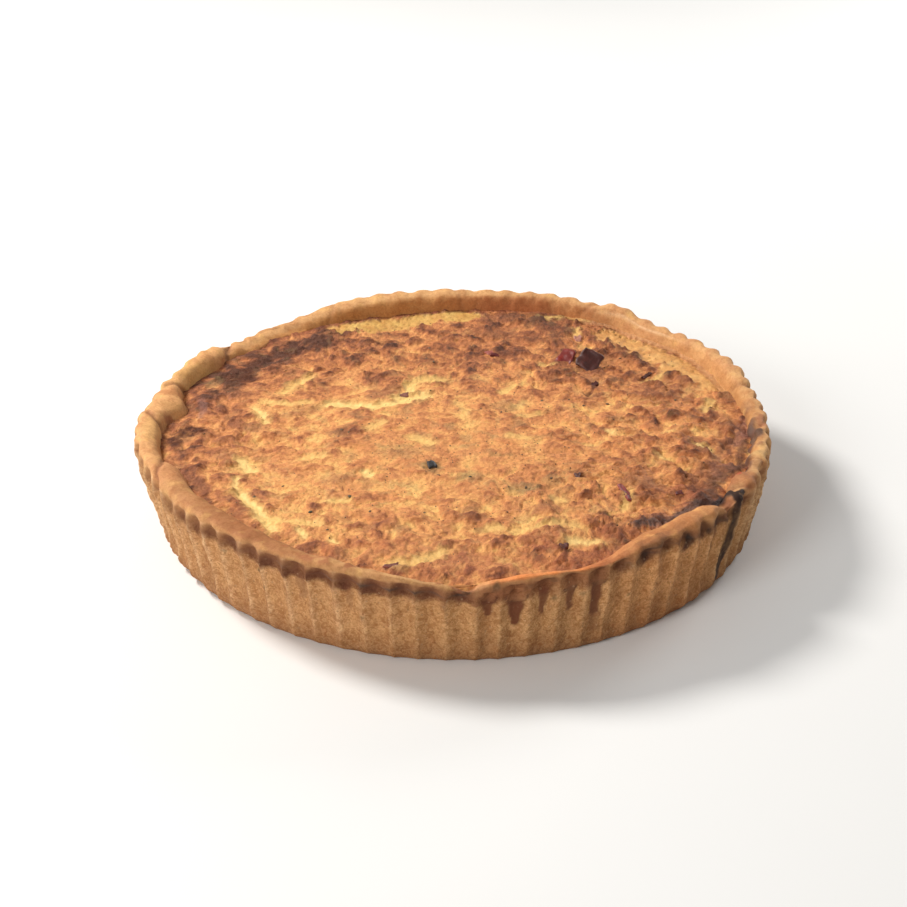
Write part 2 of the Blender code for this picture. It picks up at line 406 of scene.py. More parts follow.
def shade(value):
    """A grey multiplier as a colour."""
    return (value, value, value, 1.0)


# --- The custard's top ---------------------------------------------------------
PALE = (0.87, 0.56, 0.19)
YELLOW = (0.80, 0.47, 0.14)
DARK = (0.092, 0.024, 0.007)
BLACK = (0.026, 0.012, 0.010)
GREY = (0.140, 0.056, 0.026)
MAUVE = (0.30, 0.13, 0.095)
GREEN = (0.30, 0.20, 0.075)
BROWN = (0.30, 0.105, 0.042)
RUST = (0.40, 0.115, 0.045)
BROWNING = (
    (0.00, (0.88, 0.52, 0.165)), (0.18, (0.83, 0.42, 0.125)), (0.34, (0.75, 0.32, 0.100)),
    (0.50, (0.64, 0.243, 0.078)), (0.66, (0.48, 0.162, 0.054)), (0.82, (0.28, 0.088, 0.034)),
    (1.00, (0.115, 0.040, 0.020)),
)

# colour, half-width, depth of the top there (mm, + is down), strength, path
TRACKS = (
    (PALE, 2.4, 0.9, 1.0, ((-52, 19), (-40, 17), (-33, 15.5), (-27, 18), (-20, 21), (-13, 26))),
    (PALE, 1.7, 0.8, 0.95, ((-24, 22), (-20, 30), (-20, 36))),
    (YELLOW, 2.0, 0.5, 0.8, ((-20, 36), (-14, 41), (-7, 40))),
    (YELLOW, 1.7, 0.6, 0.85, ((-72, 30), (-62, 44))),
    (PALE, 1.5, 0.7, 0.9, ((-83, 14), (-79, 8), (-77, 2))),
    (YELLOW, 1.4, 0.4, 0.7, ((-80, 20), (-70, 19), (-60, 21))),
    (PALE, 2.2, 0.7, 1.0, ((-84, -29), (-80, -36))),
    (PALE, 1.1, 0.5, 0.8, ((-84, -44), (-84, -50), (-82, -56))),
    (PALE, 1.9, 1.1, 1.0, ((-82, -56), (-79, -62), (-74, -67), (-73, -72), (-70, -77), (-67, -82))),
    (YELLOW, 1.8, 0.5, 0.8, ((-69, -75), (-58, -78), (-50, -80))),
    (PALE, 1.1, 0.3, 0.8, ((-57, -84), (-55, -88))),
    (PALE, 1.0, 0.3, 1.0, ((-45, -91), (-43, -93))),
    (PALE, 1.5, 0.4, 0.9, ((-36, -39), (-34, -42))),
    (YELLOW, 1.8, 0.4, 0.8, ((-18, -12), (-10, -17))),
    (YELLOW, 1.6, 0.3, 0.7, ((-35, -4), (-30, 1))),
    (YELLOW, 2.0, 0.3, 0.65, ((-60, -28), (-53, -27))),
    (YELLOW, 1.4, 0.4, 0.8, ((-49, -62), (-41, -62))),
    (YELLOW, 2.2, 0.5, 0.8, ((-22, -107), (-13, -105), (-6, -100))),
    (YELLOW, 1.4, 0.5, 0.85, ((19, 28), (24, 36))),
    (YELLOW, 1.1, 0.4, 0.7, ((36, 55), (41, 55))),
    (YELLOW, 1.2, 0.4, 0.75, ((53, 91), (53, 85))),
    (YELLOW, 2.0, 0.2, 0.65, ((40, 104), (50, 105), (58, 103))),
    (YELLOW, 1.3, 0.4, 0.75, ((87, 48), (80, 41))),
    (YELLOW, 1.6, 0.2, 0.6, ((21, -10), (28, -13))),
    (PALE, 1.4, 0.0, 0.7, ((61, -6), (63, -10))),
    (YELLOW, 1.4, 0.3, 0.8, ((79, -28), (82, -32))),
    (PALE, 1.6, 0.2, 0.8, ((94, -20), (99, -22))),
    (YELLOW, 1.2, 0.4, 0.8, ((62, -68), (65, -58))),
    (YELLOW, 1.6, 0.3, 0.7, ((12, -83), (16, -83))),
    (YELLOW, 1.4, 0.3, 0.7, ((36, -62), (40, -64))),
    (PALE, 1.8, 0.3, 0.85, ((41, -92), (50, -92))),
    (YELLOW, 1.5, 0.4, 0.7, ((20, -86), (36, -81), (44, -82))),
    (YELLOW, 1.6, 0.3, 0.7, ((101, 12), (105, 21))),
    (YELLOW, 1.5, 0.2, 0.5, ((0, 20), (3, 12), (3, 4))),
    (YELLOW, 1.5, 0.2, 0.5, ((26, 8), (33, 9))),
    (DARK, 1.0, 0.7, 0.75, ((78, 44), (83, 49))),
    (DARK, 1.1, 0.7, 0.8, ((54, 28), (57, 32), (58, 37))),
    (BROWN, 2.6, -0.5, 0.75, ((-35, 25), (-30, 28), (-25, 31))),
    (BROWN, 1.6, -0.3, 0.7, ((91, -19), (95, -26), (98, -27))),
    (DARK, 1.3, 0.5, 0.75, ((105, -16), (107, -24))),
    (DARK, 1.5, 0.8, 0.7, ((46, -41), (47.5, -46))),
    (DARK, 1.8, 1.1, 0.85, ((54, -73), (57, -75))),
    (MAUVE, 2.4, -0.2, 0.7, ((112, -33), (106, -35), (101, -37), (99, -44))),
    ((0.105, 0.058, 0.046), 2.3, 0.3, 0.9, ((66, -81), (77, -76), (84, -70), (89, -66), (94, -65))),
    (MAUVE, 3.0, 0.0, 0.8, ((116, 2), (114, -8), (111, -14))),
    (GREY, 1.8, 0.0, 0.8, ((114, -14), (111, -24), (109, -36))),
    (GREY, 2.6, 0.2, 0.8, ((111, -32), (104, -38), (99, -45), (96, -53), (95, -60))),
    (BROWN, 4.5, 0.0, 0.45, ((108, 6), (108, -12), (104, -28), (98, -40))),
    (MAUVE, 1.6, 0.0, 0.6, ((-105, 20), (-103, 12), (-104, 7))),
    (BROWN, 2.2, 0.2, 0.55, ((-99, -46), (-95, -54))),
)

# colour, x, y, radius, radius, turn, depth, strength
SPOTS = (
    (DARK, -92, 43, 7.5, 6.5, 40, 0.3, 0.8), (DARK, -86, 53, 6.0, 5.0, 40, 0.3, 0.6),
    (BROWN, -92, 30, 6.0, 6.0, 0, 0.1, 0.5), (DARK, -107, -6, 6.5, 4.2, 20, 0.2, 0.9), (DARK, -112, -14, 3.2, 5.0, 20, 0.3, 0.85),
    (DARK, -109, -21, 2.4, 4.5, 20, 0.2, 0.6), (DARK, -118, 4, 2.6, 3.0, 0, 0.0, 0.5),
    (GREY, -94, 34, 3.4, 6.4, -10, 0.2, 0.75), (BLACK, -100, 27, 2.2, 3.0, 0, 0.2, 0.6),
    (BROWN, -94, -15, 2.6, 2.6, 0, 0.1, 0.55), (BROWN, -90, -25, 4.5, 3.2, 20, -0.5, 0.5),
    (BROWN, -84, -2, 7.0, 4.0, -20, -0.6, 0.6), (BROWN, -64, 12, 7.5, 3.6, 35, -0.6, 0.42),
    (DARK, -32, 78, 3.6, 4.2, 0, 0.3, 0.62), (GREY, -13, 62, 2.6, 4.0, 0, 0.1, 0.55),
    (GREY, 26, 106, 5.0, 4.0, 0, 0.1, 0.6), (GREY, 34, 98, 4.4, 5.2, 0, 0.2, 0.62),
    (GREY, 43, 86, 2.8, 4.4, 20, 0.2, 0.6), (BROWN, 18, 86, 8.0, 4.5, 0, 0.2, 0.6),
    (BROWN, 18, 104, 9.0, 5.0, 0, 0.0, 0.45), (RUST, 20, 117, 8.0, 3.2, 0, 0.0, 0.7),
    (RUST, 36, 116, 6.0, 3.4, 0, 0.0, 0.7), (RUST, 56, 108, 7.0, 2.6, -30, 0.0, 0.6),
    (BROWN, 88, 34, 12.0, 12.0, 0, 0.0, 0.42), (BROWN, 80, 22, 9.0, 7.0, 0, 0.0, 0.3),
    (BROWN, 58, 42, 5.0, 8.0, 0, 0.2, 0.42), (GREY, 57, 27, 3.0, 3.0, 0, 0.2, 0.5),
    (BROWN, 91, -12, 3.6, 6.0, 0, 0.5, 0.4), (BROWN, 70, -50, 8.0, 6.0, 0, -0.9, 0.5),
    # the DARK spot at (90, -53) is a painted shadow
    (RUST, 86, -56, 6.5, 6.5, 0, -0.6, 0.62), (DARK, 90, -53, 2.8, 4.5, 0, 0.4, 0.62),
    (DARK, 83, -58, 2.0, 2.6, 0, 0.3, 0.5), (BROWN, 92, -44, 5.0, 7.0, 0, -0.2, 0.5),
    (BROWN, 47, -37, 4.6, 5.4, 0, -0.8, 0.42), (BROWN, 33, -70, 6.0, 4.6, 0, -0.8, 0.5),
    (RUST, 31, -94, 8.5, 5.6, 0, -1.0, 0.62), (DARK, 38, -97, 2.2, 2.6, 0, 0.5, 0.6),
    (BROWN, 38, -86, 2.6, 3.2, 0, 0.3, 0.5), (RUST, 52, -86, 3.4, 5.0, 0, 0.3, 0.45),
    (BROWN, -33, -82, 3.4, 3.0, 0, -0.5, 0.5), (BROWN, -20, -84, 3.4, 3.0, 0, -0.5, 0.4),
    (BROWN, -4, -94, 4.0, 3.4, 0, -0.5, 0.42), (MAUVE, -23, -109, 3.4, 2.0, 15, 0.0, 0.7),
    (BROWN, 8, -75, 3.0, 3.6, 0, 0.3, 0.5), (GREY, 10, -83, 2.8, 2.2, 0, 0.1, 0.5),
    (GREEN, 26, -54, 7.0, 3.4, 10, -0.2, 0.55), (GREEN, 5, -45, 5.0, 3.6, 0, 0.0, 0.42),
    (GREY, -46, -8, 4.0, 4.0, 0, -0.2, 0.42), (GREEN, -22, -24, 9.0, 6.0, 0, 0.0, 0.3),
    (GREEN, 20, 16, 6.0, 5.0, 0, 0.0, 0.35), (GREEN, -10, -38, 4.0, 5.0, 0, 0.0, 0.45),
    (GREEN, 36, -48, 4.0, 4.0, 0, 0.0, 0.35), (GREEN, -47, -45, 6.0, 5.0, 0, 0.0, 0.25),
    (RUST, 110, -46, 5.0, 5.0, 0, -0.8, 0.5), (PALE, 117, -28, 3.4, 7.0, 10, -0.5, 0.55),
    (RUST, -30, -98, 16.0, 6.0, 10, 0.0, 0.3), (RUST, 6, -106, 22.0, 6.0, 0, 0.0, 0.42),
    (RUST, 44, -104, 14.0, 5.0, 25, 0.0, 0.42), (BROWN, 60, 64, 10.0, 8.0, 0, 0.0, 0.22),
    (GREEN, -102, 38, 3.0, 5.0, -25, 0.0, 0.4), (BROWN, -72, 52, 7.0, 6.0, 0, 0.0, 0.3),
)

BURNT = (   # baked-on juice at the right front: path (x, y, z) and half-width
    (((94.0, -68.0, 35.5), (96.4, -64.9, 36.3), (99.0, -61.6, 37.2), (101.4, -61.8, 38.2), (103.4, -64.6, 38.2),
      (104.6, -67.2, 36.6), (105.3, -68.6, 34.2)), 1.25),
    (((107.0, -62.0, 38.6), (108.4, -63.4, 37.0), (107.8, -65.8, 35.2), (106.6, -68.0, 33.6)), 1.7),
    (((103.2, -63.4, 38.6), (106.6, -62.4, 38.8)), 0.9),
    (((90.0, -69.5, 35.0), (94.0, -67.6, 35.5)), 1.0),
)


def custard_swells():
    rng = random.Random(31)
    rows = list(SWELLS)
    for _ in range(SMALL_SWELLS):
        r, a = 104.0 * math.sqrt(rng.random()), rng.uniform(0.0, 2.0 * math.pi)
        rows.append((r * math.cos(a), r * math.sin(a), rng.uniform(7.0, 13.0),
                     SMALL_SWELL_RISE * rng.uniform(-1.0, 1.2)))
    return rows


SWELL_ROWS = custard_swells()


def custard(x, y):
    """The custard's top at these points: height, colour, and how wet, speckled and grainy it is."""
    radius, azimuth = np.hypot(x, y), np.degrees(np.arctan2(y, x))
    rim = inner(azimuth)
    level = FILL_HEIGHT + sum(h * blob(x, y, cx, cy, s) for cx, cy, s, h in SWELL_ROWS)
    near_rim = ramp(radius / rim, 0.93, 1.0)
    z = level * (1 - near_rim) + (fill_edge(azimuth) - 0.3) * near_rim

    # how lumpy each part is
    rough = 0.72 + 0.40 * ramp(x, 10, 80) + 0.30 * blob(x, y, 60, -60, 48) + 0.18 * ramp(y, 30, 80)
    rough -= 0.26 * blob(x, y, -20, -20, 48) + 0.20 * blob(x, y, 22, -14, 40)
    rough += 0.22 * blob(x, y, -96, -12, 26) + 0.18 * blob(x, y, -10, -92, 50, 20)

    wx = x + 3.4 * grad2(x, y, 15, 1) + 1.2 * grad2(x, y, 5.5, 2)
    wy = y + 3.4 * grad2(x, y, 15, 3) + 1.2 * grad2(x, y, 5.5, 4)
    big = puffs2(wx, wy, 17, 11, 3, 0.55)
    small = puffs2(wx, wy, 5.6, 21, 3, 0.65)
    near, second, number = cells2(wx, wy, 10.5, 5)
    lump = np.clip(1.0 - (near / 0.74) ** 2, 0.0, 1.0) * ramp(number, 0.12, 0.55)
    near1, _, number1 = cells2(wx + 21, wy - 13, 6.0, 7)
    knob = np.clip(1.0 - (near1 / 0.66) ** 2, 0.0, 1.0) * ramp(number1, 0.25, 0.75)
    near2, _, number2 = cells2(x + 1.2 * grad2(x, y, 4.0, 8) + 40, y + 1.2 * grad2(x, y, 4.0, 9), 2.9, 6)
    bead = np.clip(1.0 - (near2 / 0.66) ** 2, 0.0, 1.0) * (0.35 + 0.65 * number2)
    fold = 1.0 - np.abs(grad2(wx * 0.9 + 90, wy * 1.1, 7.0, 31))
    fold = np.clip((fold - 0.84) / 0.16, 0.0, 1.0) * ramp(layers2(x, y, 14, 32, 2), -0.1, 0.4)
    crowd = ramp(0.5 * lump + 0.5 * knob + 0.35 * layers2(x, y, 11, 33, 2), 0.05, 0.7)

    # bare custard showing where the skin split
    pale = np.zeros_like(x)
    colour_layers = []
    points = np.stack([x, y], axis=1)
    ragged = 1.12 + 0.65 * grad2(x, y, 5.0, 41) + 0.50 * grad2(x, y, 2.1, 42)
    depth = np.zeros_like(x)
    for colour, half, down, strength, path in TRACKS:
        close = track_distance(points, path) / (half * ragged.clip(0.35, 2.0))
        mask = (1.0 - ramp(close, 0.55, 1.25)) * (0.88 + 0.30 * layers2(x, y, 2.6, 43, 2))
        if colour in (PALE, YELLOW):
            colour_layers.append((YELLOW, 0.5 * strength * (1.0 - ramp(close, 0.9, 2.4))))
        colour_layers.append((colour, mask * strength))
        depth += down * (1.0 - ramp(close, 0.35, 1.5))
        if colour in (PALE, YELLOW):
            pale = np.maximum(pale, mask * strength)
    back_band = 1.0 - ramp(track_distance(points, ((-50, 93), (-42, 96), (-34, 99), (-22, 102), (-8, 106), (4, 107)))
                           / (5.6 * ragged.clip(0.5, 1.6)), 0.75, 1.15)
    back_band *= 1.0 - ramp(radius / rim, 0.995, 1.03)
    right_band = 1.0 - ramp(track_distance(points, ((67, 85), (76, 77), (84.5, 68), (92.5, 58), (100.5, 48), (106.5, 38)))
                            / (6.0 * ragged.clip(0.5, 1.5)), 0.75, 1.2)
    left_band = 1.0 - ramp(track_distance(points, ((-84, 14), (-70, 16), (-56, 18)))
                           / (5.0 * ragged.clip(0.5, 1.5)), 0.4, 1.6)
    bare = np.maximum.reduce([pale, back_band, right_band,
                              np.exp(-(away(azimuth, 37) / 24) ** 4) * ramp(radius / rim, 0.955, 0.975)])

    # pores in the bare bands by the rim
    pore_near, _, pore_number = cells2(x + 7, y + 3, 2.3, 51)
    pores = (1.0 - ramp(pore_near, 0.14, 0.32)) * ramp(pore_number + 0.45 * grad2(x, y, 9, 52), 0.62, 0.8)
    pores *= np.maximum(back_band, right_band)

    relief = (1.1 * (big - 0.42) + 0.45 * (small - 0.42) + 1.35 * (lump - 0.3) + 1.0 * (knob - 0.25)
              + (0.35 + 0.75 * crowd) * (bead - 0.35) - 0.45 * fold + 0.30 * layers2(x, y, 2.2, 61, 2, 0.7))
    relief *= rough
    calm = 1.0 - 0.64 * bare
    z = z + relief * calm * (1.0 - 0.45 * near_rim) - 0.9 * depth * (1.0 - near_rim) - 0.8 * pores
    z -= 0.5 * np.maximum(back_band, right_band)

    # colour: browner on the lumps and in patches, paler where it is smooth
    brown = 0.40 + 0.10 * layers2(x, y, 34, 71, 2) + 0.24 * layers2(wx, wy, 12, 72, 3)
    brown += 0.20 * (lump - 0.3) + 0.28 * (knob - 0.25) + 0.18 * (big - 0.42) + 0.10 * (small - 0.42)
    brown += 0.22 * crowd * (bead - 0.3) + 0.17 * layers2(wx, wy, 3.6, 73, 3, 0.75) + 0.12 * fold
    brown += 0.04 * ramp(x, 10, 90) + 0.19 * ramp(y, 5, 80) - 0.03 * blob(x, y, -10, -30, 45)
    brown += 0.24 * blob(x, y, -98, 10, 16, 44) + 0.02 * ramp(-y, 60, 110)
    brown += 0.16 * blob(x, y, 22, 92, 34, 22) + 0.12 * blob(x, y, 80, -50, 28)
    brown += 0.14 * ramp(radius / rim, 0.82, 0.99) * (1 - np.maximum(back_band, right_band))
    brown -= 0.07 * blob(x, y, -44, -66, 30) + 0.06 * blob(x, y, -60, 8, 24, 16)
    even = 0.36 * blob(x, y, 8, -24, 48, 40) + 0.18 * blob(x, y, -40, -50, 40)
    brown = brown + (0.40 - brown) * np.minimum(even, 0.42)
    dark_band = 1.0 - ramp(track_distance(points, ((-97, 42), (-88, 51), (-82, 57), (-75, 64), (-66, 72), (-61, 79)))
                           / (6.2 * ragged.clip(0.5, 1.6)), 0.25, 1.5)
    brown += dark_band * (0.52 + 0.2 * layers2(x, y, 5, 74, 2))
    brown = np.where(brown > 0.72, 0.72 + (brown - 0.72) * 0.7, brown)
    brown = brown * (1.0 - 0.45 * left_band) + 0.10 * left_band
    colour = palette(brown, BROWNING)
    # greenish grey mottle where herbs cooked in
    herb = ramp(layers2(wx, wy, 7.5, 81, 3, 0.6), 0.22, 0.75) * (0.5 + 0.5 * blob(x, y, 0, -20, 70))
    colour = mix(colour, GREEN, 0.38 * herb * (1 - bare))
    # orange mottle
    warm = ramp(layers2(wx + 50, wy, 9.0, 82, 2, 0.6), 0.15, 0.8)
    colour = mix(colour, (0.72, 0.25, 0.075), 0.30 * warm * (1 - bare))
    for target, cx, cy, rx, ry, turn, down, strength in SPOTS:
        mask = blob(x, y, cx, cy, rx, ry, turn)
        mask = ramp(mask * ragged.clip(0.5, 1.5), 0.14, 0.62)
        colour = mix(colour, target, mask * strength * (1.0 + 0.5 * layers2(x, y, 3.0, 83, 2)))
        z = z - 0.8 * down * blob(x, y, cx, cy, rx, ry, turn) * (1.0 - near_rim)
    yellow = palette(0.5 + 0.5 * layers2(x, y, 6, 84, 3), ((0.0, (0.86, 0.56, 0.17)), (0.5, (0.76, 0.43, 0.12)), (1.0, (0.66, 0.33, 0.09))))
    colour = mix(colour, yellow * np.array([0.81, 0.76, 0.71]), 0.92 * back_band)
    colour = mix(colour, yellow * np.array([0.97, 0.83, 0.92]), 0.88 * right_band)
    colour = mix(colour, (0.42, 0.21, 0.055), 0.75 * pores)
    for target, mask in colour_layers:
        colour = mix(colour, target, mask)
    burnt = np.zeros_like(x)
    place = np.stack([x, y, 36.5 + 0 * x], axis=1)
    for path, half in BURNT:
        burnt = np.maximum(burnt, 1.0 - ramp(track_distance(place, [(a, b, 36.5) for a, b, _ in path])
                                             / (half * ragged.clip(0.6, 1.5)), 0.6, 1.3))
    colour = mix(colour, BLACK, 0.95 * burnt)
    lift = 1.0 + 0.05 * blob(x, y, 70, 0, 50)
    bright = ramp(colour[:, 0], 0.12, 0.45)[:, None]
    colour = np.minimum(colour * (1.0 + bright * (np.array([1.03, 1.10, 1.17]) * lift[:, None] - 1.0)), 0.97)
    border = np.exp(-(away(azimuth, 100) / 42) ** 4) * ramp(radius / rim + 0.012 * grad2(x, y, 5.0, 95), 0.975, 0.99)
    colour = mix(colour, (0.24, 0.065, 0.026), 0.75 * border * (0.8 + 0.5 * grad2(x, y, 9.0, 96)))
    ledge = np.exp(-(away(azimuth, 37) / 24) ** 4) * ramp(radius / rim + 0.006 * grad2(x, y, 6.0, 94), 0.962, 0.976)
    colour = mix(colour, (0.66, 0.35, 0.16), 0.9 * ledge)
    colour = mix(colour, (0.42, 0.14, 0.05), 0.6 * ledge * (1 - ramp(radius / rim, 0.975, 0.985)))
    colour *= (1.0 + 0.07 * grad2(x, y, 1.6, 91) + 0.05 * grad2(x, y, 0.95, 92))[:, None]
    wet = 0.18 + 0.35 * bare + 0.25 * burnt + 0.25 * ramp(layers2(x, y, 16, 93, 2), 0.1, 0.8)
    wet += 0.35 * blob(x, y, 84, -70, 18, 7, 32)
    grain = (1.0 - 0.55 * bare) * (0.7 + 0.4 * rough)
    speck = (1.0 - bare) * (0.35 + 0.65 * blob(x, y, -5, -20, 75))
    return z, colour, wet, speck, grain


def custard_z(x, y):
    x, y = np.atleast_1d(np.asarray(x, float)), np.atleast_1d(np.asarray(y, float))
    return custard(x, y)[0]


def disk_grid(n):
    """Points of a square grid folded onto the unit disk: share of the radius and azimuth."""
    t = np.linspace(-1.0, 1.0, n)
    a, b = [g.ravel() for g in np.meshgrid(t, t)]
    wide = np.abs(a) >= np.abs(b)
    safe_a, safe_b = np.where(a == 0, 1, a), np.where(b == 0, 1, b)
    r = np.where(wide, a, b)
    phi = np.where(wide, math.pi / 4 * b / safe_a, math.pi / 2 - math.pi / 4 * a / safe_b)
    phi = np.where((a == 0) & (b == 0), 0.0, phi)
    x, y = r * np.cos(phi), r * np.sin(phi)
    return np.hypot(x, y), np.degrees(np.arctan2(y, x))


def make_filling():
    n = 302
    share, azimuth = disk_grid(n)
    reach = inner(azimuth) + 0.6
    a = np.radians(azimuth)
    x, y = share * reach * np.cos(a), share * reach * np.sin(a)
    z, colour, wet, speck, grain = custard(x, y)
    index = np.arange(n * n).reshape(n, n)
    q = np.stack([index[:-1, :-1], index[:-1, 1:], index[1:, 1:], index[1:, :-1]], axis=-1).reshape(-1, 4)
    faces = [q]
    edge = np.concatenate([index[0, :-1], index[:-1, -1], index[-1, :0:-1], index[:0:-1, 0]])
    m = len(edge)
    count = n * n
    points = [np.stack([x, y, z], axis=1)]
    around = np.radians(azimuth[edge])
    foot = BASE_RADIUS - FOOT_INSET - FILL_GAP
    base_z = FLOOR_THICKNESS + FILL_GAP
    rows = []
    for radius, height in ((reach[edge], z[edge] - 3.0), (foot + 0 * around, base_z + 0 * around)):
        points.append(np.stack([radius * np.cos(around), radius * np.sin(around), height], axis=1))
        rows.append(np.arange(count, count + m))
        count += m
    points.append(np.array([[0.0, 0.0, base_z]]))
    upper = edge
    for row in rows:
        faces.append(np.stack([upper, row, np.roll(row, -1), np.roll(upper, -1)], axis=-1))
        upper = row
    fan = np.stack([upper, np.full(m, count), np.roll(upper, -1)], axis=-1)
    extra = 2 * m + 1
    tail = lambda v, e: np.concatenate([v, np.full(extra, e)])
    tint = np.concatenate([colour, np.tile((0.7, 0.4, 0.14), (extra, 1))])
    all_faces = np.concatenate(faces).tolist() + fan.tolist()
    return add_mesh("filling_top", np.concatenate(points), all_faces,
                    {"wet": tail(wet, 0.2), "speck": tail(speck, 0.0), "grain": tail(grain, 0.2)}, tint)


# --- The case ------------------------------------------------------------------
DIVISIONS = (2, 9, 12, 6, 5, 6, 5, 6, 6, 6, 2)
DRIPS = (   # azimuth, top, bottom, half-width at the top and at the bottom (mm), strength
    (-85.0, 30.0, 20.6, 2.8, 1.1, 0.9), (-80.4, 30.0, 15.8, 3.3, 1.5, 1.0), (-75.9, 31.5, 20.4, 2.2, 1.0, 0.9),
    (-71.2, 32.0, 19.6, 2.2, 1.1, 0.85), (-66.5, 32.5, 15.0, 2.8, 2.2, 0.95), (-66.0, 17.0, 7.0, 2.4, 1.6, 0.4),
    (-116.8, 31.5, 19.5, 2.6, 1.6, 0.45), (-108.0, 31.0, 20.5, 1.6, 0.9, 0.4), (-39.6, 30.0, 17.5, 2.4, 1.8, 0.45),
    (-92.0, 29.5, 24.0, 1.3, 0.8, 0.35),
)
LOBES = (   # skin of the filling hanging over the rim: azimuth, height, half-width and half-height (mm), rise
    (-84.8, 31.6, 3.6, 3.3, 1.0), (-80.5, 31.2, 4.6, 3.7, 1.2), (-71.4, 31.6, 3.0, 3.2, 0.5), (-66.2, 32.2, 3.4, 3.0, 0.6),
)
LUMPS = (   # dough lumps of the rim: x, y, z, radius, rise
    (109.0, -54.5, 38.5, 6.5, 1.5), (100.4, -66.6, 37.4, 2.6, 1.3), (116.5, -31.0, 38.6, 5.0, 0.9),
    (114.6, -38.5, 38.6, 4.0, 0.8), (117.5, -1.0, 38.6, 5.0, 0.9), (112.5, 9.0, 36.5, 4.5, 0.8),
    (95.0, -75.0, 38.0, 4.0, 0.6), (-118.5, 22.0, 38.5, 6.0, 0.6), (-121.0, -16.0, 38.5, 6.0, 0.6),
    (-104.0, -58.0, 38.5, 6.0, 0.7), (-96.0, 62.0, 39.0, 5.0, 0.6),
)
RIM_STAINS = (   # colour, x, y, radius, radius, turn, strength
    ((0.125, 0.070, 0.050), 117.2, -13.5, 5.4, 3.6, -75, 0.88), ((0.150, 0.075, 0.055), 114.8, -21.0, 3.2, 1.6, -75, 0.8),
    ((0.130, 0.065, 0.050), 112.0, -29.5, 4.5, 1.5, -80, 0.8), ((0.110, 0.052, 0.042), 111.0, -37.5, 4.5, 1.8, -85, 0.85),
    ((0.42, 0.165, 0.085), 121.7, -6.0, 2.4, 5.0, 0, 0.7), ((0.80, 0.50, 0.18), 104.0, 10.0, 3.4, 3.0, 0, 0.7),
    ((0.76, 0.44, 0.16), 113.5, 9.0, 3.0, 3.4, 0, 0.6), ((0.70, 0.42, 0.165), 117.0, -32.5, 3.4, 6.0, 10, 0.75),
    ((0.43, 0.170, 0.070), 109.5, -54.0, 7.5, 6.0, -30, 0.8), ((0.50, 0.045, 0.028), 106.4, -49.8, 0.9, 0.9, 0, 0.8),
    ((0.36, 0.150, 0.065), 100.4, -66.6, 3.0, 3.0, 0, 0.8), ((0.62, 0.35, 0.11), -109.1, 39.1, 6.0, 12.0, -30, 0.55),
    ((0.50, 0.20, 0.075), -117.0, 19.5, 6.0, 3.0, 20, 0.6), ((0.60, 0.31, 0.115), -114.0, 8.0, 6.0, 4.0, 0, 0.6),
    ((0.33, 0.120, 0.045), -112.5, 2.0, 7.0, 2.4, 0, 0.85), ((0.72, 0.42, 0.155), -121.0, -12.0, 3.5, 9.0, 0, 0.55),
    ((0.50, 0.21, 0.085), -108.5, -50.0, 7.0, 9.0, 25, 0.6), ((0.44, 0.135, 0.050), -92.9, 61.0, 9.0, 2.6, 35, 0.7),
)
WALL_SPOTS = (  # azimuth, height, radius, strength
    (-83.5, 34.6, 1.5, 0.9), (-78.5, 34.4, 1.3, 0.85), (-74.2, 34.8, 1.2, 0.85), (-74, 27, 1.2, 0.6),
    (-69, 27, 0.9, 0.5), (-125.7, 26, 1.1, 0.7), (-125, 19, 0.8, 0.6), (-133, 29, 0.9, 0.6),
    (-105.8, 18, 0.9, 0.5), (-88.5, 33.0, 1.5, 0.8), (-98, 24, 0.6, 0.5), (-60, 21, 0.7, 0.5),
)
BLACK_DENTS = ((-111, 0.5), (-105.5, 0.85), (-100.8, 0.9), (-96.6, 0.9), (-93.4, 0.6), (-89.6, 0.9), (-56, 0.75),
               (-50, 0.7), (-44.5, 0.8), (-41, 0.6), (-36.5, 0.7), (-120, 0.35), (-129, 0.3))
RIM_CREASES = (  # azimuth at the crest, slant (degrees for each ring), half-width (degrees), depth, from ring, to ring
    (146.0, 1.4, 0.9, 1.3, 5.5, 10.0), (168.0, -1.2, 0.8, 0.9, 7.4, 10.2), (180.5, 1.5, 0.8, 1.0, 7.4, 10.2),
    (201.0, -2.6, 0.8, 1.1, 5.6, 10.0), (326.0, 1.0, 1.0, 1.5, 5.2, 10.0), (331.0, -0.8, 0.7, 0.9, 6.5, 10.0),
    (342.0, 0.8, 0.7, 0.9, 6.5, 10.0), (356.0, -1.0, 0.7, 0.6, 7.0, 10.0), (59.5, 1.5, 0.8, 0.4, 5.5, 9.6),
    (272.0, 0.6, 1.0, 0.9, 6.0, 10.0), (253.0, 1.2, 0.6, 0.3, 6.4, 9.4), (13.0, 0.8, 0.7, 0.6, 6.5, 9.8),
    (35.0, -0.8, 0.6, 0.3, 6.5, 9.6), (118.0, 1.2, 0.6, 0.3, 7.0, 10.0), (90.0, -0.7, 0.6, 0.3, 7.0, 10.0),
)


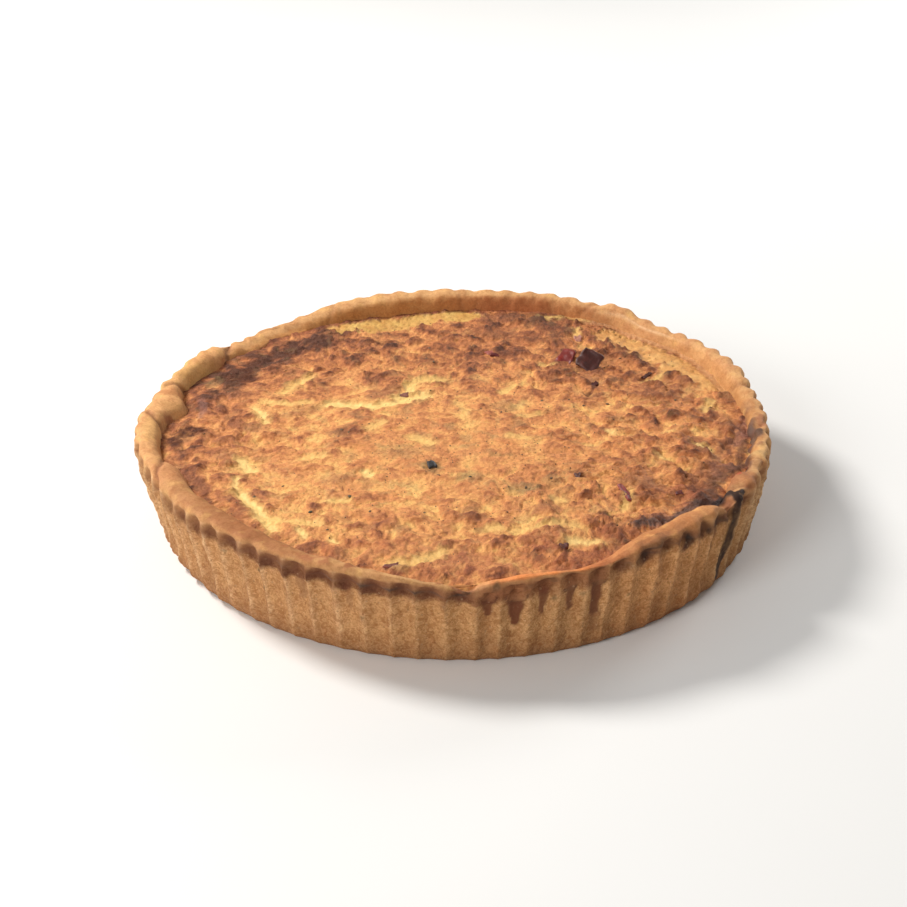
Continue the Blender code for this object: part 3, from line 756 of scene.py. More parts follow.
def smooth_profile(rings):
    """Points along the profile: a curve through the rings, spaced by their mean distances."""
    control = np.array([np.stack([np.broadcast_to(r, rings[0][1].shape), h], axis=0) for r, h in rings])
    step = np.linalg.norm(np.diff(control, axis=0), axis=1).mean(axis=1)
    slope = np.zeros_like(control)
    secant = np.diff(control, axis=0) / step[:, None, None]
    for i in range(1, len(control) - 1):
        slope[i] = (secant[i - 1] * step[i] + secant[i] * step[i - 1]) / (step[i] + step[i - 1])
    slope[0], slope[-1], slope[-2] = secant[0], secant[-1], secant[-2]
    rows, ring_at = [], []
    for i, parts in enumerate(DIVISIONS):
        for k in range(parts):
            t = k / parts
            h00, h10 = 2 * t**3 - 3 * t**2 + 1, t**3 - 2 * t**2 + t
            h01, h11 = -2 * t**3 + 3 * t**2, t**3 - t**2
            rows.append(h00 * control[i] + h10 * step[i] * slope[i] + h01 * control[i + 1] + h11 * step[i] * slope[i + 1])
            ring_at.append(i + t)
    rows.append(control[-1])
    ring_at.append(len(control) - 1.0)
    return np.array(rows), np.array(ring_at)


def make_crust():
    azimuth, place, flute, rings = crust_controls(STEPS)
    rows, ring_at = smooth_profile(rings)          # (rows, 2, around)
    n, around = len(rows), len(azimuth)
    az = np.tile(azimuth, (n, 1))
    radius, height = rows[:, 0], rows[:, 1]
    v = np.repeat(ring_at[:, None], around, axis=1)
    u = np.tile(place, (n, 1))
    scallop = 1.0 - np.abs(2 * u - 1) ** 2.2
    rng = np.random.default_rng(5)
    press = rng.uniform(0.35, 1.0, FLUTES)[flute][None, :]
    lean = rng.uniform(-0.13, 0.13, FLUTES)[flute][None, :]
    # every dent is pressed a little deeper, off centre, and the dough bulges above it
    dent = np.exp(-((u - 0.5 - lean) / 0.27) ** 2) * np.exp(-((v - 5.0) / 0.75) ** 2)
    bulge = np.exp(-((u - 0.5 - lean) / 0.33) ** 2) * np.exp(-((v - 7.1) / 0.9) ** 2)
    hollow_mm, dent_mm = [np.array(t)[flute][None, :] for t in flute_table()[1:]]
    soft = 0.5 - 0.5 * np.cos(2 * math.pi * u)
    in_depth = np.interp(v, [4, 5, 6, 7, 8, 9], [1, 1, 0.75, 0.55, 0.15, 0])
    in_press = np.interp(v, [4, 5, 6, 7], [0.25, 1, 0.6, 0])
    radius = radius + (scallop - soft) * (in_depth * hollow_mm + in_press * dent_mm) * ramp(v, 4.1, 5.0)
    gentle = 0.45 + 0.32 * np.exp(-(away(az, 232) / 62) ** 4)
    radius = radius + gentle * in_press * dent_mm * soft * ramp(v, 4.1, 5.0)
    radius = radius - 0.25 * press * dent + 0.4 * press * bulge
    radius = radius - 0.45 * hollow_mm * scallop * np.interp(v, [1, 2, 3.4, 4.4], [0, 0.8, 1, 0])
    front = np.exp(-(away(az, 252) / 62) ** 4)
    radius = radius + front * soft * (in_depth * hollow_mm * 0.75 + in_press * dent_mm * 0.6) * ramp(v, 5.6, 6.4)
    plain = 0.95 * np.exp(-(away(az, -76) / 34) ** 4)
    radius = radius + plain * hollow_mm * ((scallop - soft) + 0.35 * soft) * (1 - ramp(v, 3.6, 4.6)) * ramp(v, 0.5, 2.0)
    notch = np.exp(-(away(az, 271.3) / 2.0) ** 2) * ramp(v, 5.6, 7.4) * (1 - ramp(v, 9.4, 10.0))
    upper = ramp(v, 4.6, 7.0) * (1 - ramp(v, 9.4, 10.0))
    height = height + upper * (1.9 * np.exp(-(away(az, 255.5) / 9.5) ** 4) - 1.4 * np.exp(-(away(az, 294.5) / 5.5) ** 4))
    height = height - 2.7 * notch
    radius = radius - 0.8 * notch
    proud = 0.30 + 0.70 * np.exp(-(away(az, 40) / 78) ** 4)
    radius = radius - 0.75 * proud * soft * np.exp(-((v - 7.0) / 1.1) ** 2)
    height = height - 0.45 * proud * soft * np.exp(-((v - 7.6) / 0.9) ** 2)
    wobble = np.interp(az.ravel() % 360, np.linspace(0, 360, 181), np.append(rng.uniform(-1, 1, 180), 0.0)).reshape(az.shape)

    angle = np.radians(az)
    p = np.stack([radius * np.cos(angle), radius * np.sin(angle), height], axis=-1)

    def normals(p):
        du = np.roll(p, -1, axis=1) - np.roll(p, 1, axis=1)
        dv = np.zeros_like(p)
        dv[1:-1] = p[2:] - p[:-2]
        dv[0], dv[-1] = p[1] - p[0], p[-1] - p[-2]
        c = np.cross(du, dv)
        return c / np.maximum(np.linalg.norm(c, axis=-1, keepdims=True), 1e-9)

    normal = normals(p)
    flat = p.reshape(-1, 3)
    wall = 1.0 - ramp(v, 3.9, 4.6)
    rim = 1.0 - wall
    shape = lambda a: a.reshape(az.shape)
    g_fine = shape(grad3(flat, 1.15, 201))
    g_grain = shape(grad3(flat, 2.3, 202))
    g_lump = shape(grad3(flat, 5.0, 203))
    g_broad = shape(grad3(flat, 12.0, 204))
    g_wide = shape(grad3(flat, 28.0, 205))
    push = (0.14 + 0.16 * wall) * g_fine * (0.45 + 0.55 * wall) + (0.14 + 0.12 * wall) * g_grain
    push += (0.22 + 0.16 * rim) * g_lump + 0.50 * g_broad + 0.5 * g_wide * ramp(v, 0.8, 3.0)
    mess = np.exp(-(away(az, -12) / 17) ** 4) * ramp(v, 7.4, 8.8)
    push += mess * (0.9 * g_broad + 1.0 * g_lump + 0.35 * g_grain)
    push += 0.25 * rim * wobble * (1 - ramp(v, 9.0, 10.0))
    crease_shade = np.zeros_like(az)
    fold_line = np.exp(-((v - 9.15 - 0.012 * away(az, 47) - 0.25 * g_broad) / 0.13) ** 2) * np.exp(-(away(az, 47) / 10) ** 4)
    push -= 0.55 * fold_line
    for at, slant, half, deep, first, last in RIM_CREASES:
        off = away(az, at + slant * (v - 8.0)) + 0.5 * g_lump
        line = np.exp(-(off / half) ** 2) * ramp(v, first - 0.5, first + 0.4) * (1 - ramp(v, last - 0.4, last + 0.4))
        crease_shade = np.maximum(crease_shade, line * min(1.0, deep))
        push -= deep * line
    # drips and burnt juice lie on the surface
    drip = np.zeros_like(az)
    hang = np.zeros_like(az)
    for at, level, half, tall, rise in LOBES:
        across = np.radians(away(az, at)) * radius / half
        reach = (np.abs(across) ** 2.6 + np.abs((height - level) / tall) ** 2.6) + 0.25 * g_lump
        lobe = (1.0 - ramp(reach, 0.55, 1.1)) * (v < 7.0)
        hang = np.maximum(hang, lobe * min(1.0, 0.55 + 0.4 * rise))
        push += rise * lobe
    for cx, cy, cz, size, rise in LUMPS:
        push += rise * np.exp(-(((p[..., 0] - cx) ** 2 + (p[..., 1] - cy) ** 2 + (p[..., 2] - cz) ** 2) / size ** 2)) * (v < 10)
    for at, top, bottom, half, half_low, strength in DRIPS:
        along = np.clip((top - height) / (top - bottom), 0.0, 1.4)
        off = np.radians(away(az, at)) * radius + 0.25 * np.sin(height * 0.9 + at)
        width = (half + (half_low - half) * along ** 1.3) * (1.0 + 0.25 * g_lump)
        inside = 1.0 - ramp(np.abs(off) / np.maximum(width, 0.25), 0.72, 1.1)
        tip = bottom + 0.9 * (np.abs(off) / max(half_low, 0.5)) ** 2
        ends = (1 - ramp(height, top - 0.5, top + 1.5)) * ramp(height, tip - 0.5, tip + 0.7)
        drip = np.maximum(drip, inside * ends * strength * (v < 6.5))
    burnt = np.zeros_like(az)
    for path, half in BURNT:
        close = shape(track_distance(flat, path)) / (half * (1.0 + 0.5 * g_grain + 0.4 * g_lump).clip(0.4, 1.8))
        burnt = np.maximum(burnt, 1.0 - ramp(close, 0.75, 1.35))
        plan = shape(track_distance(flat * np.array([1.0, 1.0, 0.0]), [(a, b, 0.0) for a, b, _ in path]))
        plan = plan / (half * (1.0 + 0.5 * g_grain + 0.4 * g_lump).clip(0.4, 1.8))
        burnt = np.maximum(burnt, (1.0 - ramp(plan, 0.75, 1.35)) * (v > 6.0) * (v < 10.2))
    centre = np.interp(height, [4, 9, 12, 16, 20, 26, 34], [-35.6, -34.8, -34.1, -33.5, -33.1, -33.0, -32.9])
    width = np.interp(height, [5, 12, 18, 24, 33], [1.5, 1.5, 1.15, 0.85, 0.9]) + 0.22 * g_lump
    run = (1.0 - ramp(np.abs(away(az, centre)) / np.maximum(width, 0.3), 0.6, 1.15)) * (v < 7.0) * ramp(height, 1.5, 4.0)
    burnt = np.maximum(burnt, run * (0.9 + 0.1 * g_grain))
    scorch = np.exp(-(away(az, -33.5) / 3.4) ** 4) * ramp(v, 5.0, 6.2) * ramp(g_broad + 0.9 * g_lump + 0.5 * g_grain, 0.0, 0.5)
    smooth = np.maximum(drip, burnt)
    push = push * (1 - 0.6 * smooth) + 0.35 * drip + 0.45 * burnt
    keep = (1 - ramp(v, 10.0, 10.6)) * ramp(height, 0.0, 1.6)
    keep = np.where(v > 10.0, 0.0, keep)
    p = p + normal * (push * keep)[..., None]
    p[..., 2] = np.maximum(p[..., 2], 0.0)

    # colour
    sand = palette(shape(grad3(flat, 9.0, 211)).ravel() * 0.5 + 0.5,
                   ((0.0, (0.52, 0.265, 0.108)), (0.5, (0.62, 0.335, 0.138)), (1.0, (0.70, 0.395, 0.175))))
    crumb = shape(grad3(flat, 1.5, 212))
    toast = 0.5 + 0.5 * shape(grad3(flat, 16.0, 213))
    colour = sand
    flatten = lambda a: np.broadcast_to(a, az.shape).ravel()
    colour = mix(colour, (0.33, 0.155, 0.065), flatten(0.62 * wall * (1 - ramp(height, 1.0, 12.0 + 7.0 * toast)) + 0.22 * wall * scallop * toast))
    # painted light on the flutes: painted shade along one side of each flute on the left wall, then a painted highlight
    # along every ridge, weaker at the front
    shaded = np.exp(-((u - 0.86) / 0.07) ** 2) * np.exp(-(away(az, 208) / 46) ** 4) * (v < 5.6) * ramp(height, 2, 8)
    colour = mix(colour, (0.36, 0.165, 0.070), flatten(0.42 * shaded))
    colour = mix(colour, (0.84, 0.56, 0.31), flatten((0.72 - 0.58 * np.exp(-(away(az, -76) / 36) ** 4)) * (v < 6.2) * np.exp(-((np.minimum(u, 1 - u)) / (0.115 + 0.05 * g_lump)) ** 2) * (0.75 + 0.5 * g_broad) * ramp(height, 3, 10)))
    colour = mix(colour, (0.38, 0.165, 0.060), flatten(0.55 * wall * ramp(crumb + 0.6 * g_grain, 0.10, 0.75)))
    colour = mix(colour, (0.40, 0.18, 0.065), flatten(0.45 * wall * ramp(g_lump + 0.5 * g_broad, 0.15, 0.8)))
    # the roll: warm tan, browner along the front left, golden at the left and back
    top = ramp(v, 5.8, 7.4) * (1 - ramp(v, 9.6, 10.2))
    colour = mix(colour, (0.70, 0.385, 0.165), flatten(0.75 * top))
    front_left = np.exp(-(away(az, 232) / 26) ** 2)
    colour = mix(colour, (0.42, 0.175, 0.070), flatten(0.92 * top * front_left))
    colour = mix(colour, (0.70, 0.40, 0.17), flatten(0.7 * ramp(v, 6.8, 7.6) * (v < 10) * np.exp(-(away(az, 256) / 15) ** 4)))
    colour = mix(colour, (0.42, 0.178, 0.068), flatten(0.85 * top * np.exp(-(away(az, 308) / 18) ** 2)))
    tan = ramp(shape(grad3(flat, 7.0, 214)) + 0.7 * g_lump + 0.4 * g_grain, 0.0, 0.8)
    colour = mix(colour, (0.48, 0.215, 0.082), flatten(0.45 * rim * tan))
    mottle = shape(grad3(flat, 3.2, 215)) + 0.8 * shape(grad3(flat, 8.0, 216))
    colour = mix(colour, (0.80, 0.48, 0.17), flatten(0.42 * rim * ramp(mottle, 0.1, 0.9)))
    colour = mix(colour, (0.44, 0.175, 0.060), flatten(0.45 * rim * ramp(-mottle, 0.15, 0.9)))
    colour = mix(colour, (0.58, 0.27, 0.12), flatten(0.5 * top * np.exp(-(away(az, 32) / 30) ** 4) * ramp(g_broad + g_lump, -0.4, 0.5)))
    colour = colour * (1.0 - flatten(top * front_left)[:, None] * np.array([0.17, 0.23, 0.29]))
    warm_right = flatten(np.exp(-(away(az, -50) / 14) ** 4))[:, None]
    colour = colour * (1.0 + warm_right * (np.array([0.12, 0.02, -0.05]) + flatten(wall)[:, None] * np.array([0.02, 0.04, 0.06])))
    colour = colour * (1.0 + flatten(top * np.exp(-(away(az, 172) / 38) ** 4))[:, None] * np.array([0.10, 0.06, 0.04]))
    colour = colour * (1.0 + flatten(wall * np.exp(-(away(az, 215) / 40) ** 4))[:, None] * np.array([0.06, 0.06, 0.08]))
    inner_slope = ramp(v, 8.5, 9.4)
    # the rim's inner wall down to the filling: browner, partly baked colour and partly painted shade, except near
    # azimuth 38
    inner_wall_brown_and_shade = ramp(v + 0.6 * g_lump + 0.4 * g_grain, 9.1, 9.7) * (1 - 0.8 * np.exp(-(away(az, 38) / 22) ** 4))
    colour = mix(colour, (0.42, 0.165, 0.056), flatten(0.75 * inner_wall_brown_and_shade))
    colour = mix(colour, (0.21, 0.075, 0.030), flatten(0.55 * inner_wall_brown_and_shade * ramp(g_broad, 0.0, 0.5)))
    skin = np.exp(-(away(az, -2) / 13) ** 4) * ramp(v + 0.5 * g_lump, 7.4, 8.4)
    colour = mix(colour, (0.50, 0.225, 0.082), flatten(0.75 * skin * (0.8 + 0.4 * g_grain)))
    # the back inner slope darker red-brown at azimuths 112 and 78: partly baked colour, partly painted shade where it
    # faces away from the key light
    colour = mix(colour, (0.44, 0.155, 0.036), flatten(0.80 * inner_slope * np.exp(-(away(az, 112) / 27) ** 2)))
    colour = mix(colour, (0.45, 0.13, 0.045), flatten(0.75 * inner_slope * np.exp(-(away(az, 78) / 12) ** 2)))
    colour = mix(colour, (0.55, 0.27, 0.09), flatten(0.5 * inner_slope * (1 - np.exp(-(away(az, 60) / 40) ** 2))))
    # brown where each dent was pressed, darkest under the front roll; the band along the roll's underside is partly
    # baked brown and partly painted shade
    drift = 0.15 * np.exp(-(away(az, 212) / 40) ** 4)
    lower = 0.5 * np.exp(-(away(az, 252) / 30) ** 4)
    dents = np.exp(-((u - 0.5 - lean + drift + 0.16 * g_lump + 0.06 * g_grain) / 0.29) ** 2) * np.exp(-((height - seam(az) - 1.3 + lower + 1.7 * g_lump + 0.9 * g_grain) / 2.9) ** 4) * (v < 8)
    roll_underside_brown_and_shade = np.exp(-((height - seam(az) - 1.9 + lower + 1.1 * g_lump + 0.6 * g_grain) / 3.5) ** 4) * (0.6 + 0.4 * scallop) * (v < 8)
    strength = 0.45 + 0.62 * press + 0.45 * g_lump
    side = 0.66 + 0.42 * np.exp(-(away(az, 258) / 60) ** 2)
    # the band under the roll: baked brown with painted shade, all round, and darker at the front in the mix below
    colour = mix(colour, (0.36, 0.15, 0.062), flatten(0.62 * roll_underside_brown_and_shade * side * rim))
    front_brown_and_shade = np.exp(-(away(az, 258) / 24) ** 4) + 0.55 * np.exp(-(away(az, 226) / 16) ** 4)
    spots = np.exp(-(away(az, 258) / 30) ** 4) * ramp(v, 6.4, 7.4) * (v < 10) * ramp(g_lump + 0.6 * g_grain, 0.22, 0.6)
    colour = mix(colour, (0.38, 0.135, 0.055), flatten(0.75 * spots))
    colour = mix(colour, (0.235, 0.092, 0.040), flatten(np.minimum(1.4 * roll_underside_brown_and_shade * front_brown_and_shade * (0.9 + 0.5 * g_lump) * (1 - ramp(v, 6.2, 7.4)), 0.88)))
    left_dents = np.exp(-(away(az, 205) / 32) ** 4)
    colour = mix(colour, (0.150, 0.054, 0.025), flatten(dents * strength * side * (1.1 - 0.45 * left_dents)))
    black = np.zeros_like(az)
    for at, much in BLACK_DENTS:
        black = np.maximum(black, much * np.exp(-(away(az, at) / 1.35) ** 2) * np.exp(-((v - 4.7 + 0.25 * g_lump) / 0.42) ** 2))
    colour = mix(colour, (0.075, 0.05, 0.038), flatten(black))
    right_front = np.exp(-(away(az, -49) / 12.5) ** 4) * np.exp(-((height - seam(az) - 2.4 + 0.9 * g_lump) / 3.0) ** 2) * (v < 8)
    colour = mix(colour, (0.140, 0.055, 0.027), flatten(0.80 * right_front * (0.75 + 0.5 * g_lump)))
    colour = mix(colour, (0.045, 0.032, 0.026), flatten(0.9 * right_front * ramp(g_broad + g_lump, 0.12, 0.45)))
    # filling baked over the thin front rim
    over = np.exp(-(away(az, -74) / 12.5) ** 4) * ramp(v + 0.3 * g_lump, 6.6, 7.4)
    colour = mix(colour, (0.80, 0.275, 0.085), flatten(0.95 * over * (0.85 + 0.4 * g_lump) * (1 - 0.6 * ramp(v, 8.8, 9.6))))
    colour = mix(colour, (0.36, 0.10, 0.04), flatten(0.7 * over * np.exp(-(away(az, -64) / 4) ** 2)))
    stain = np.zeros_like(az)
    for at, level, size, much in WALL_SPOTS:
        reach = np.hypot(np.radians(away(az, at)) * radius, height - level) * (1 + 0.4 * g_grain)
        stain = np.maximum(stain, much * (1 - ramp(reach / size, 0.6, 1.3)) * (v < 7.6))
    colour = mix(colour, (0.07, 0.065, 0.035), flatten(stain))
    # right side: lumps stained by juice
    stained = np.exp(-(away(az, -20) / 14) ** 4) * ramp(v, 6.6, 8.2)
    colour = mix(colour, (0.36, 0.16, 0.085), flatten(0.62 * stained * ramp(g_broad + 0.6 * g_lump, -0.2, 0.6)))
    colour = mix(colour, (0.20, 0.095, 0.065), flatten(0.72 * mess * ramp(g_lump - 0.5 * g_broad, -0.3, 0.5)))
    wet_grey = np.exp(-(away(az, -8) / 12) ** 4) * ramp(v, 8.2, 9.4)
    colour = mix(colour, (0.115, 0.062, 0.048), flatten(0.7 * wet_grey * ramp(g_lump + 0.5 * g_grain, 0.0, 0.5)))
    patch = flatten(ramp(v, 5.6, 6.6)) * 1.0
    for target, cx, cy, rx, ry, turn, share in RIM_STAINS:
        mask = blob(p[..., 0], p[..., 1], cx, cy, rx, ry, turn)
        mask = ramp(mask * (1.0 + 0.45 * g_lump + 0.35 * g_grain), 0.16, 0.60)
        colour = mix(colour, target, flatten(mask) * share * patch)
    # painted shade darkening the rim's creases
    colour = mix(colour, (0.20, 0.068, 0.034), flatten(0.85 * crease_shade * 0.7))
    colour = mix(colour, (0.86, 0.60, 0.36), flatten(0.6 * fold_line))
    under = np.exp(-(away(az, -74.5) / 12.5) ** 6) * np.exp(-((height - 32.8) / 3.8) ** 4) * (v < 7.2) * (0.75 + 0.4 * g_lump)
    colour = mix(colour, (0.26, 0.097, 0.040), flatten(0.85 * under))
    colour = mix(colour, (0.128, 0.032, 0.013), flatten(0.92 * drip * (1 - 0.75 * hang)))
    colour = mix(colour, (0.30, 0.122, 0.050), flatten(0.75 * hang * (0.8 + 0.4 * g_grain)))
    colour = mix(colour, (0.10, 0.034, 0.017), flatten(0.8 * np.clip(4 * hang * (1 - hang), 0, 1) ** 2 * (height < 31) * (v < 6)))
    colour = mix(colour, (0.050, 0.021, 0.016), flatten(0.9 * scorch))
    colour = mix(colour, BLACK, flatten(0.97 * burnt))
    colour = colour * (1.0 + 0.09 * crumb.ravel() * flatten(0.5 + 0.5 * wall) + 0.05 * g_broad.ravel())[:, None]

    index = np.arange(n * around).reshape(n, around)
    lower, upper = index[:-1], index[1:]
    faces = np.stack([lower, np.roll(lower, -1, axis=1), np.roll(upper, -1, axis=1), upper], axis=-1).reshape(-1, 4)
    count = n * around
    points = np.concatenate([p.reshape(-1, 3), [[0, 0, 0.0]], [[0, 0, FLOOR_THICKNESS]]])
    first, last = index[0], index[-1]
    fan = np.stack([np.roll(first, -1), first, np.full(around, count)], axis=-1).tolist()
    fan += np.stack([last, np.roll(last, -1), np.full(around, count + 1)], axis=-1).tolist()
    tint = np.concatenate([colour, [[0.52, 0.28, 0.12]] * 2])
    ends = lambda a: np.concatenate([flatten(a), [0.1, 0.1]])
    return add_mesh("crust_case", points, faces.tolist() + fan,
                    {"wet": ends(0.12 + 0.10 * top + 0.16 * drip + 0.06 * burnt + 0.3 * over + 0.15 * wet_grey),
                     "speck": ends(0.9 * wall + 0.25 * rim), "grain": ends((0.45 + 0.55 * wall) * (1 - 0.7 * smooth))}, tint)


def crust_material():
    s = Shader("baked_crust")
    tint = s.named("tint")
    grain, wet, speck = s.named("grain"), s.named("wet"), s.named("speck")
    fine = s.noise(0.8, 4.0, 0.7)
    mid = s.noise(2.2, 3.0, 0.6, 1.2)
    far, tone = s.specks(1.5)
    dark = s.math("MULTIPLY", s.span(far, 0.16, 0.34, 1.0, 0.0), s.span(s.split(tone)[0], 0.72, 0.80))
    dark = s.math("MULTIPLY", dark, speck)
    light = s.math("MULTIPLY", s.span(far, 0.20, 0.40, 1.0, 0.0), s.span(s.split(tone)[1], 0.80, 0.88))
    light = s.math("MULTIPLY", light, speck)
    colour = s.blend(s.math("MULTIPLY", s.span(mid, 0.46, 0.60), s.math("MULTIPLY", grain, 0.66)), tint,
                     s.blend(1.0, tint, (0.62, 0.49, 0.38, 1.0), "MULTIPLY"))
    colour = s.blend(s.math("MULTIPLY", s.span(fine, 0.44, 0.62), s.math("MULTIPLY", grain, 0.55)), colour,
                     s.blend(1.0, tint, (0.58, 0.45, 0.35, 1.0), "MULTIPLY"))
    colour = s.blend(s.math("MULTIPLY", dark, 0.55), colour, (0.20, 0.085, 0.035, 1.0))
    colour = s.blend(s.math("MULTIPLY", light, 0.16), colour, (0.86, 0.60, 0.34, 1.0))
    height = s.math("ADD", s.math("MULTIPLY", fine, 0.55), s.math("MULTIPLY", mid, 0.8))
    rough = s.span(wet, 0.0, 1.0, 0.78, 0.24)
    return s.set(Base_Color=colour, Roughness=rough, IOR=1.29,
                 Normal=s.bump(height, s.math("MULTIPLY", grain, 0.85), 0.55))


def filling_material():
    s = Shader("browned_custard")
    tint = s.named("tint")
    grain, wet, speck = s.named("grain"), s.named("wet"), s.named("speck")
    fine = s.noise(0.9, 4.0, 0.72, 0.4)
    mid = s.noise(2.8, 4.0, 0.62, 0.6)
    wide = s.noise(6.5, 3.0, 0.6, 0.8)
    far, tone = s.specks(1.7)
    parts = s.split(tone)
    dark = s.math("MULTIPLY", s.span(far, 0.12, 0.30, 1.0, 0.0), s.span(parts[0], 0.84, 0.90))
    dark = s.math("MULTIPLY", dark, speck)
    brown = s.math("MULTIPLY", s.math("MULTIPLY", s.span(mid, 0.47, 0.68), 0.42), grain)
    colour = s.blend(brown, tint, s.blend(1.0, tint, (0.62, 0.48, 0.42, 1.0), "MULTIPLY"))
    gold = s.math("MULTIPLY", s.math("MULTIPLY", s.span(wide, 0.52, 0.72), 0.35), grain)
    colour = s.blend(gold, colour, s.blend(1.0, tint, (1.22, 1.30, 1.25, 1.0), "MULTIPLY"))
    colour = s.blend(s.math("MULTIPLY", s.math("MULTIPLY", s.span(fine, 0.46, 0.66), 0.34), grain), colour,
                     s.blend(1.0, tint, (0.56, 0.42, 0.34, 1.0), "MULTIPLY"))
    colour = s.blend(s.math("MULTIPLY", dark, 0.62), colour, (0.085, 0.055, 0.025, 1.0))
    cell, _ = s.specks(1.9)
    height = s.math("SUBTRACT", s.math("ADD", s.math("MULTIPLY", fine, 0.5), mid), s.math("MULTIPLY", cell, 0.55))
    rough = s.math("ADD", s.span(wet, 0.0, 1.0, 0.72, 0.26), s.math("MULTIPLY", s.span(fine, 0.3, 0.7), 0.10))
    return s.set(Base_Color=colour, Roughness=rough, IOR=1.36,
                 Normal=s.bump(height, s.math("MULTIPLY", grain, 1.0), 1.05))


# --- Chips and bits ------------------------------------------------------------
def plate(size, bend, rim_up, seed, n=22, waves=0.05):
    """A thin plate as a closed mesh in its own frame (mm), with its face and rim numbers."""
    t = np.linspace(-1.0, 1.0, n)
    a, b = [g.ravel() for g in np.meshgrid(t, t)]
    half = np.array(size) / 2.0
    points, values = [], []
    for up in (1.0, -1.0):
        edge = np.maximum(np.abs(a), np.abs(b))
        angle = np.arctan2(b, a)
        wave = 1.0 + waves * (np.sin(3 * angle + seed) + 0.6 * np.sin(7 * angle + 2 * seed))
        corner = 1.0 - 0.06 * (np.abs(a * b)) ** 4
        x, y = a * half[0] * wave * corner, b * half[1] * wave * corner
        thick = half[2] * (1.0 - 0.55 * ramp(edge, 0.86, 1.0))
        z = up * thick + bend * (a * a - 0.33) + 0.6 * bend * a * b + rim_up * ramp(edge, 0.6, 1.0) * (a > 0.2)
        z = z + 0.10 * grad2(x, y, 2.6, seed)
        points.append(np.stack([x, y, z], axis=1))
        values.append(edge)
    index = np.arange(n * n).reshape(n, n)
    q = np.stack([index[:-1, :-1], index[:-1, 1:], index[1:, 1:], index[1:, :-1]], axis=-1).reshape(-1, 4)
    loop = np.concatenate([index[0, :-1], index[:-1, -1], index[-1, :0:-1], index[:0:-1, 0]])
    sides = np.stack([loop + n * n, np.roll(loop, -1) + n * n, np.roll(loop, -1), loop], axis=-1)
    faces = np.concatenate([q, q[:, ::-1] + n * n, sides])
    return np.concatenate(points), faces, np.concatenate(values)


def turned(points, centre, turn, tilt, roll):
    m = (Matrix.Rotation(math.radians(tilt), 3, "X") @ Matrix.Rotation(math.radians(roll), 3, "Y")
         @ Matrix.Rotation(math.radians(turn), 3, "Z"))
    return points @ np.array(m).T + np.array(centre)


def meat_material(name, sheen):
    s = Shader(name)
    tint = s.named("tint")
    fine = s.noise(0.7, 3.0, 0.6)
    streak = s.noise(1.9, 3.0, 0.6, 0.8)
    colour = s.blend(s.math("MULTIPLY", s.span(streak, 0.45, 0.65), 0.35), tint,
                     s.blend(1.0, tint, (1.7, 1.5, 1.5, 1.0), "MULTIPLY"))
    colour = s.blend(s.math("MULTIPLY", s.span(fine, 0.5, 0.7), 0.35), colour,
                     s.blend(1.0, tint, (0.45, 0.4, 0.4, 1.0), "MULTIPLY"))
    return s.set(Base_Color=colour, Roughness=s.span(fine, 0.3, 0.7, sheen, sheen + 0.2), IOR=1.45,
                 Normal=s.bump(fine, 0.5, 0.3))


def make_chips():
    made = []
    looks = {"dark_chip": ((0.062, 0.016, 0.012), (0.19, 0.12, 0.095), 0.55, 0.35),
             "red_chip": ((0.160, 0.014, 0.009), (0.20, 0.04, 0.025), -0.8, 0.1)}
    for name, (centre, size, turn, tilt, roll) in CHIPS.items():
        base, pale_rim, bend, lift = looks[name]
        points, faces, edge = plate((size[0] * 1.08, size[1] * 1.08, size[2]), bend, lift, 3 if name == "dark_chip" else 8)
        own = points.copy()
        # same order of turns as the solid: about its normal first, then tilt and roll
        nudge = (-0.5, -1.4, -0.7) if name == "dark_chip" else (-0.7, -0.8, 0.1)
        points = points + 0.5 * np.stack([grad2(own[:, 0], own[:, 1], 4.5, 14), grad2(own[:, 0], own[:, 1], 4.5, 15),
                                          0.9 * grad2(own[:, 0], own[:, 1], 3.5, 16)], axis=1)
        points = turned(points, np.array(centre) + nudge, turn + (12 if name == "dark_chip" else 0), tilt + 5, roll)
        colour = np.tile(base, (len(points), 1))
        colour = mix(colour, np.array(base) * 1.9, ramp(grad2(own[:, 0], own[:, 1], 3.2, 12), 0.0, 0.8) * 0.6)
        colour = mix(colour, pale_rim, ramp(edge, 0.90, 1.0) * (0.35 + 0.5 * ramp(own[:, 0] - own[:, 1], -2, 6)))
        made.append(add_mesh(name + "_looks", points, faces, None, colour))
    return made


BITS = (   # x, y, length, width, thickness, turn, tilt, roll, colour, sunk
    (14.5, 67.6, 4.6, 2.6, 1.2, 20, 16, 0, (0.42, 0.13, 0.10), 0.3),
    (17.0, 64.4, 5.6, 2.0, 1.3, -8, 22, 6, (0.13, 0.018, 0.016), 0.25),
    (62.4, -57.0, 2.6, 7.0, 1.2, 24, 8, 14, (0.28, 0.065, 0.055), 0.35),
    (64.2, -62.5, 2.4, 4.0, 1.2, 30, 4, 20, (0.22, 0.045, 0.04), 0.3),
    (-22.5, 26.0, 5.4, 2.6, 1.3, 12, 10, 0, (0.27, 0.105, 0.075), 0.5),
    (53.2, 81.2, 3.4, 4.2, 1.3, 10, 24, 0, (0.50, 0.22, 0.15), 0.3),
    (57.6, 37.4, 3.6, 2.4, 1.4, 30, 18, 0, (0.085, 0.022, 0.018), 0.35),
    (80.4, 46.6, 5.0, 1.8, 1.2, 42, 14, 0, (0.08, 0.024, 0.016), 0.4),
    (-9.8, -36.6, 3.4, 4.4, 1.6, 20, 8, 0, (0.034, 0.034, 0.036), 0.15),
    (83.5, -57.5, 3.0, 2.4, 1.4, 10, 10, 0, (0.13, 0.025, 0.018), 0.5),
    (-23.0, -109.5, 5.6, 2.0, 1.0, 12, 6, 0, (0.22, 0.075, 0.055), 0.35),
    (38.2, -96.8, 3.6, 2.8, 1.6, 0, 10, 0, (0.11, 0.03, 0.02), 0.6),
    (46.0, -45.5, 2.4, 3.0, 1.4, 0, 14, 0, (0.13, 0.045, 0.03), 0.5),
)


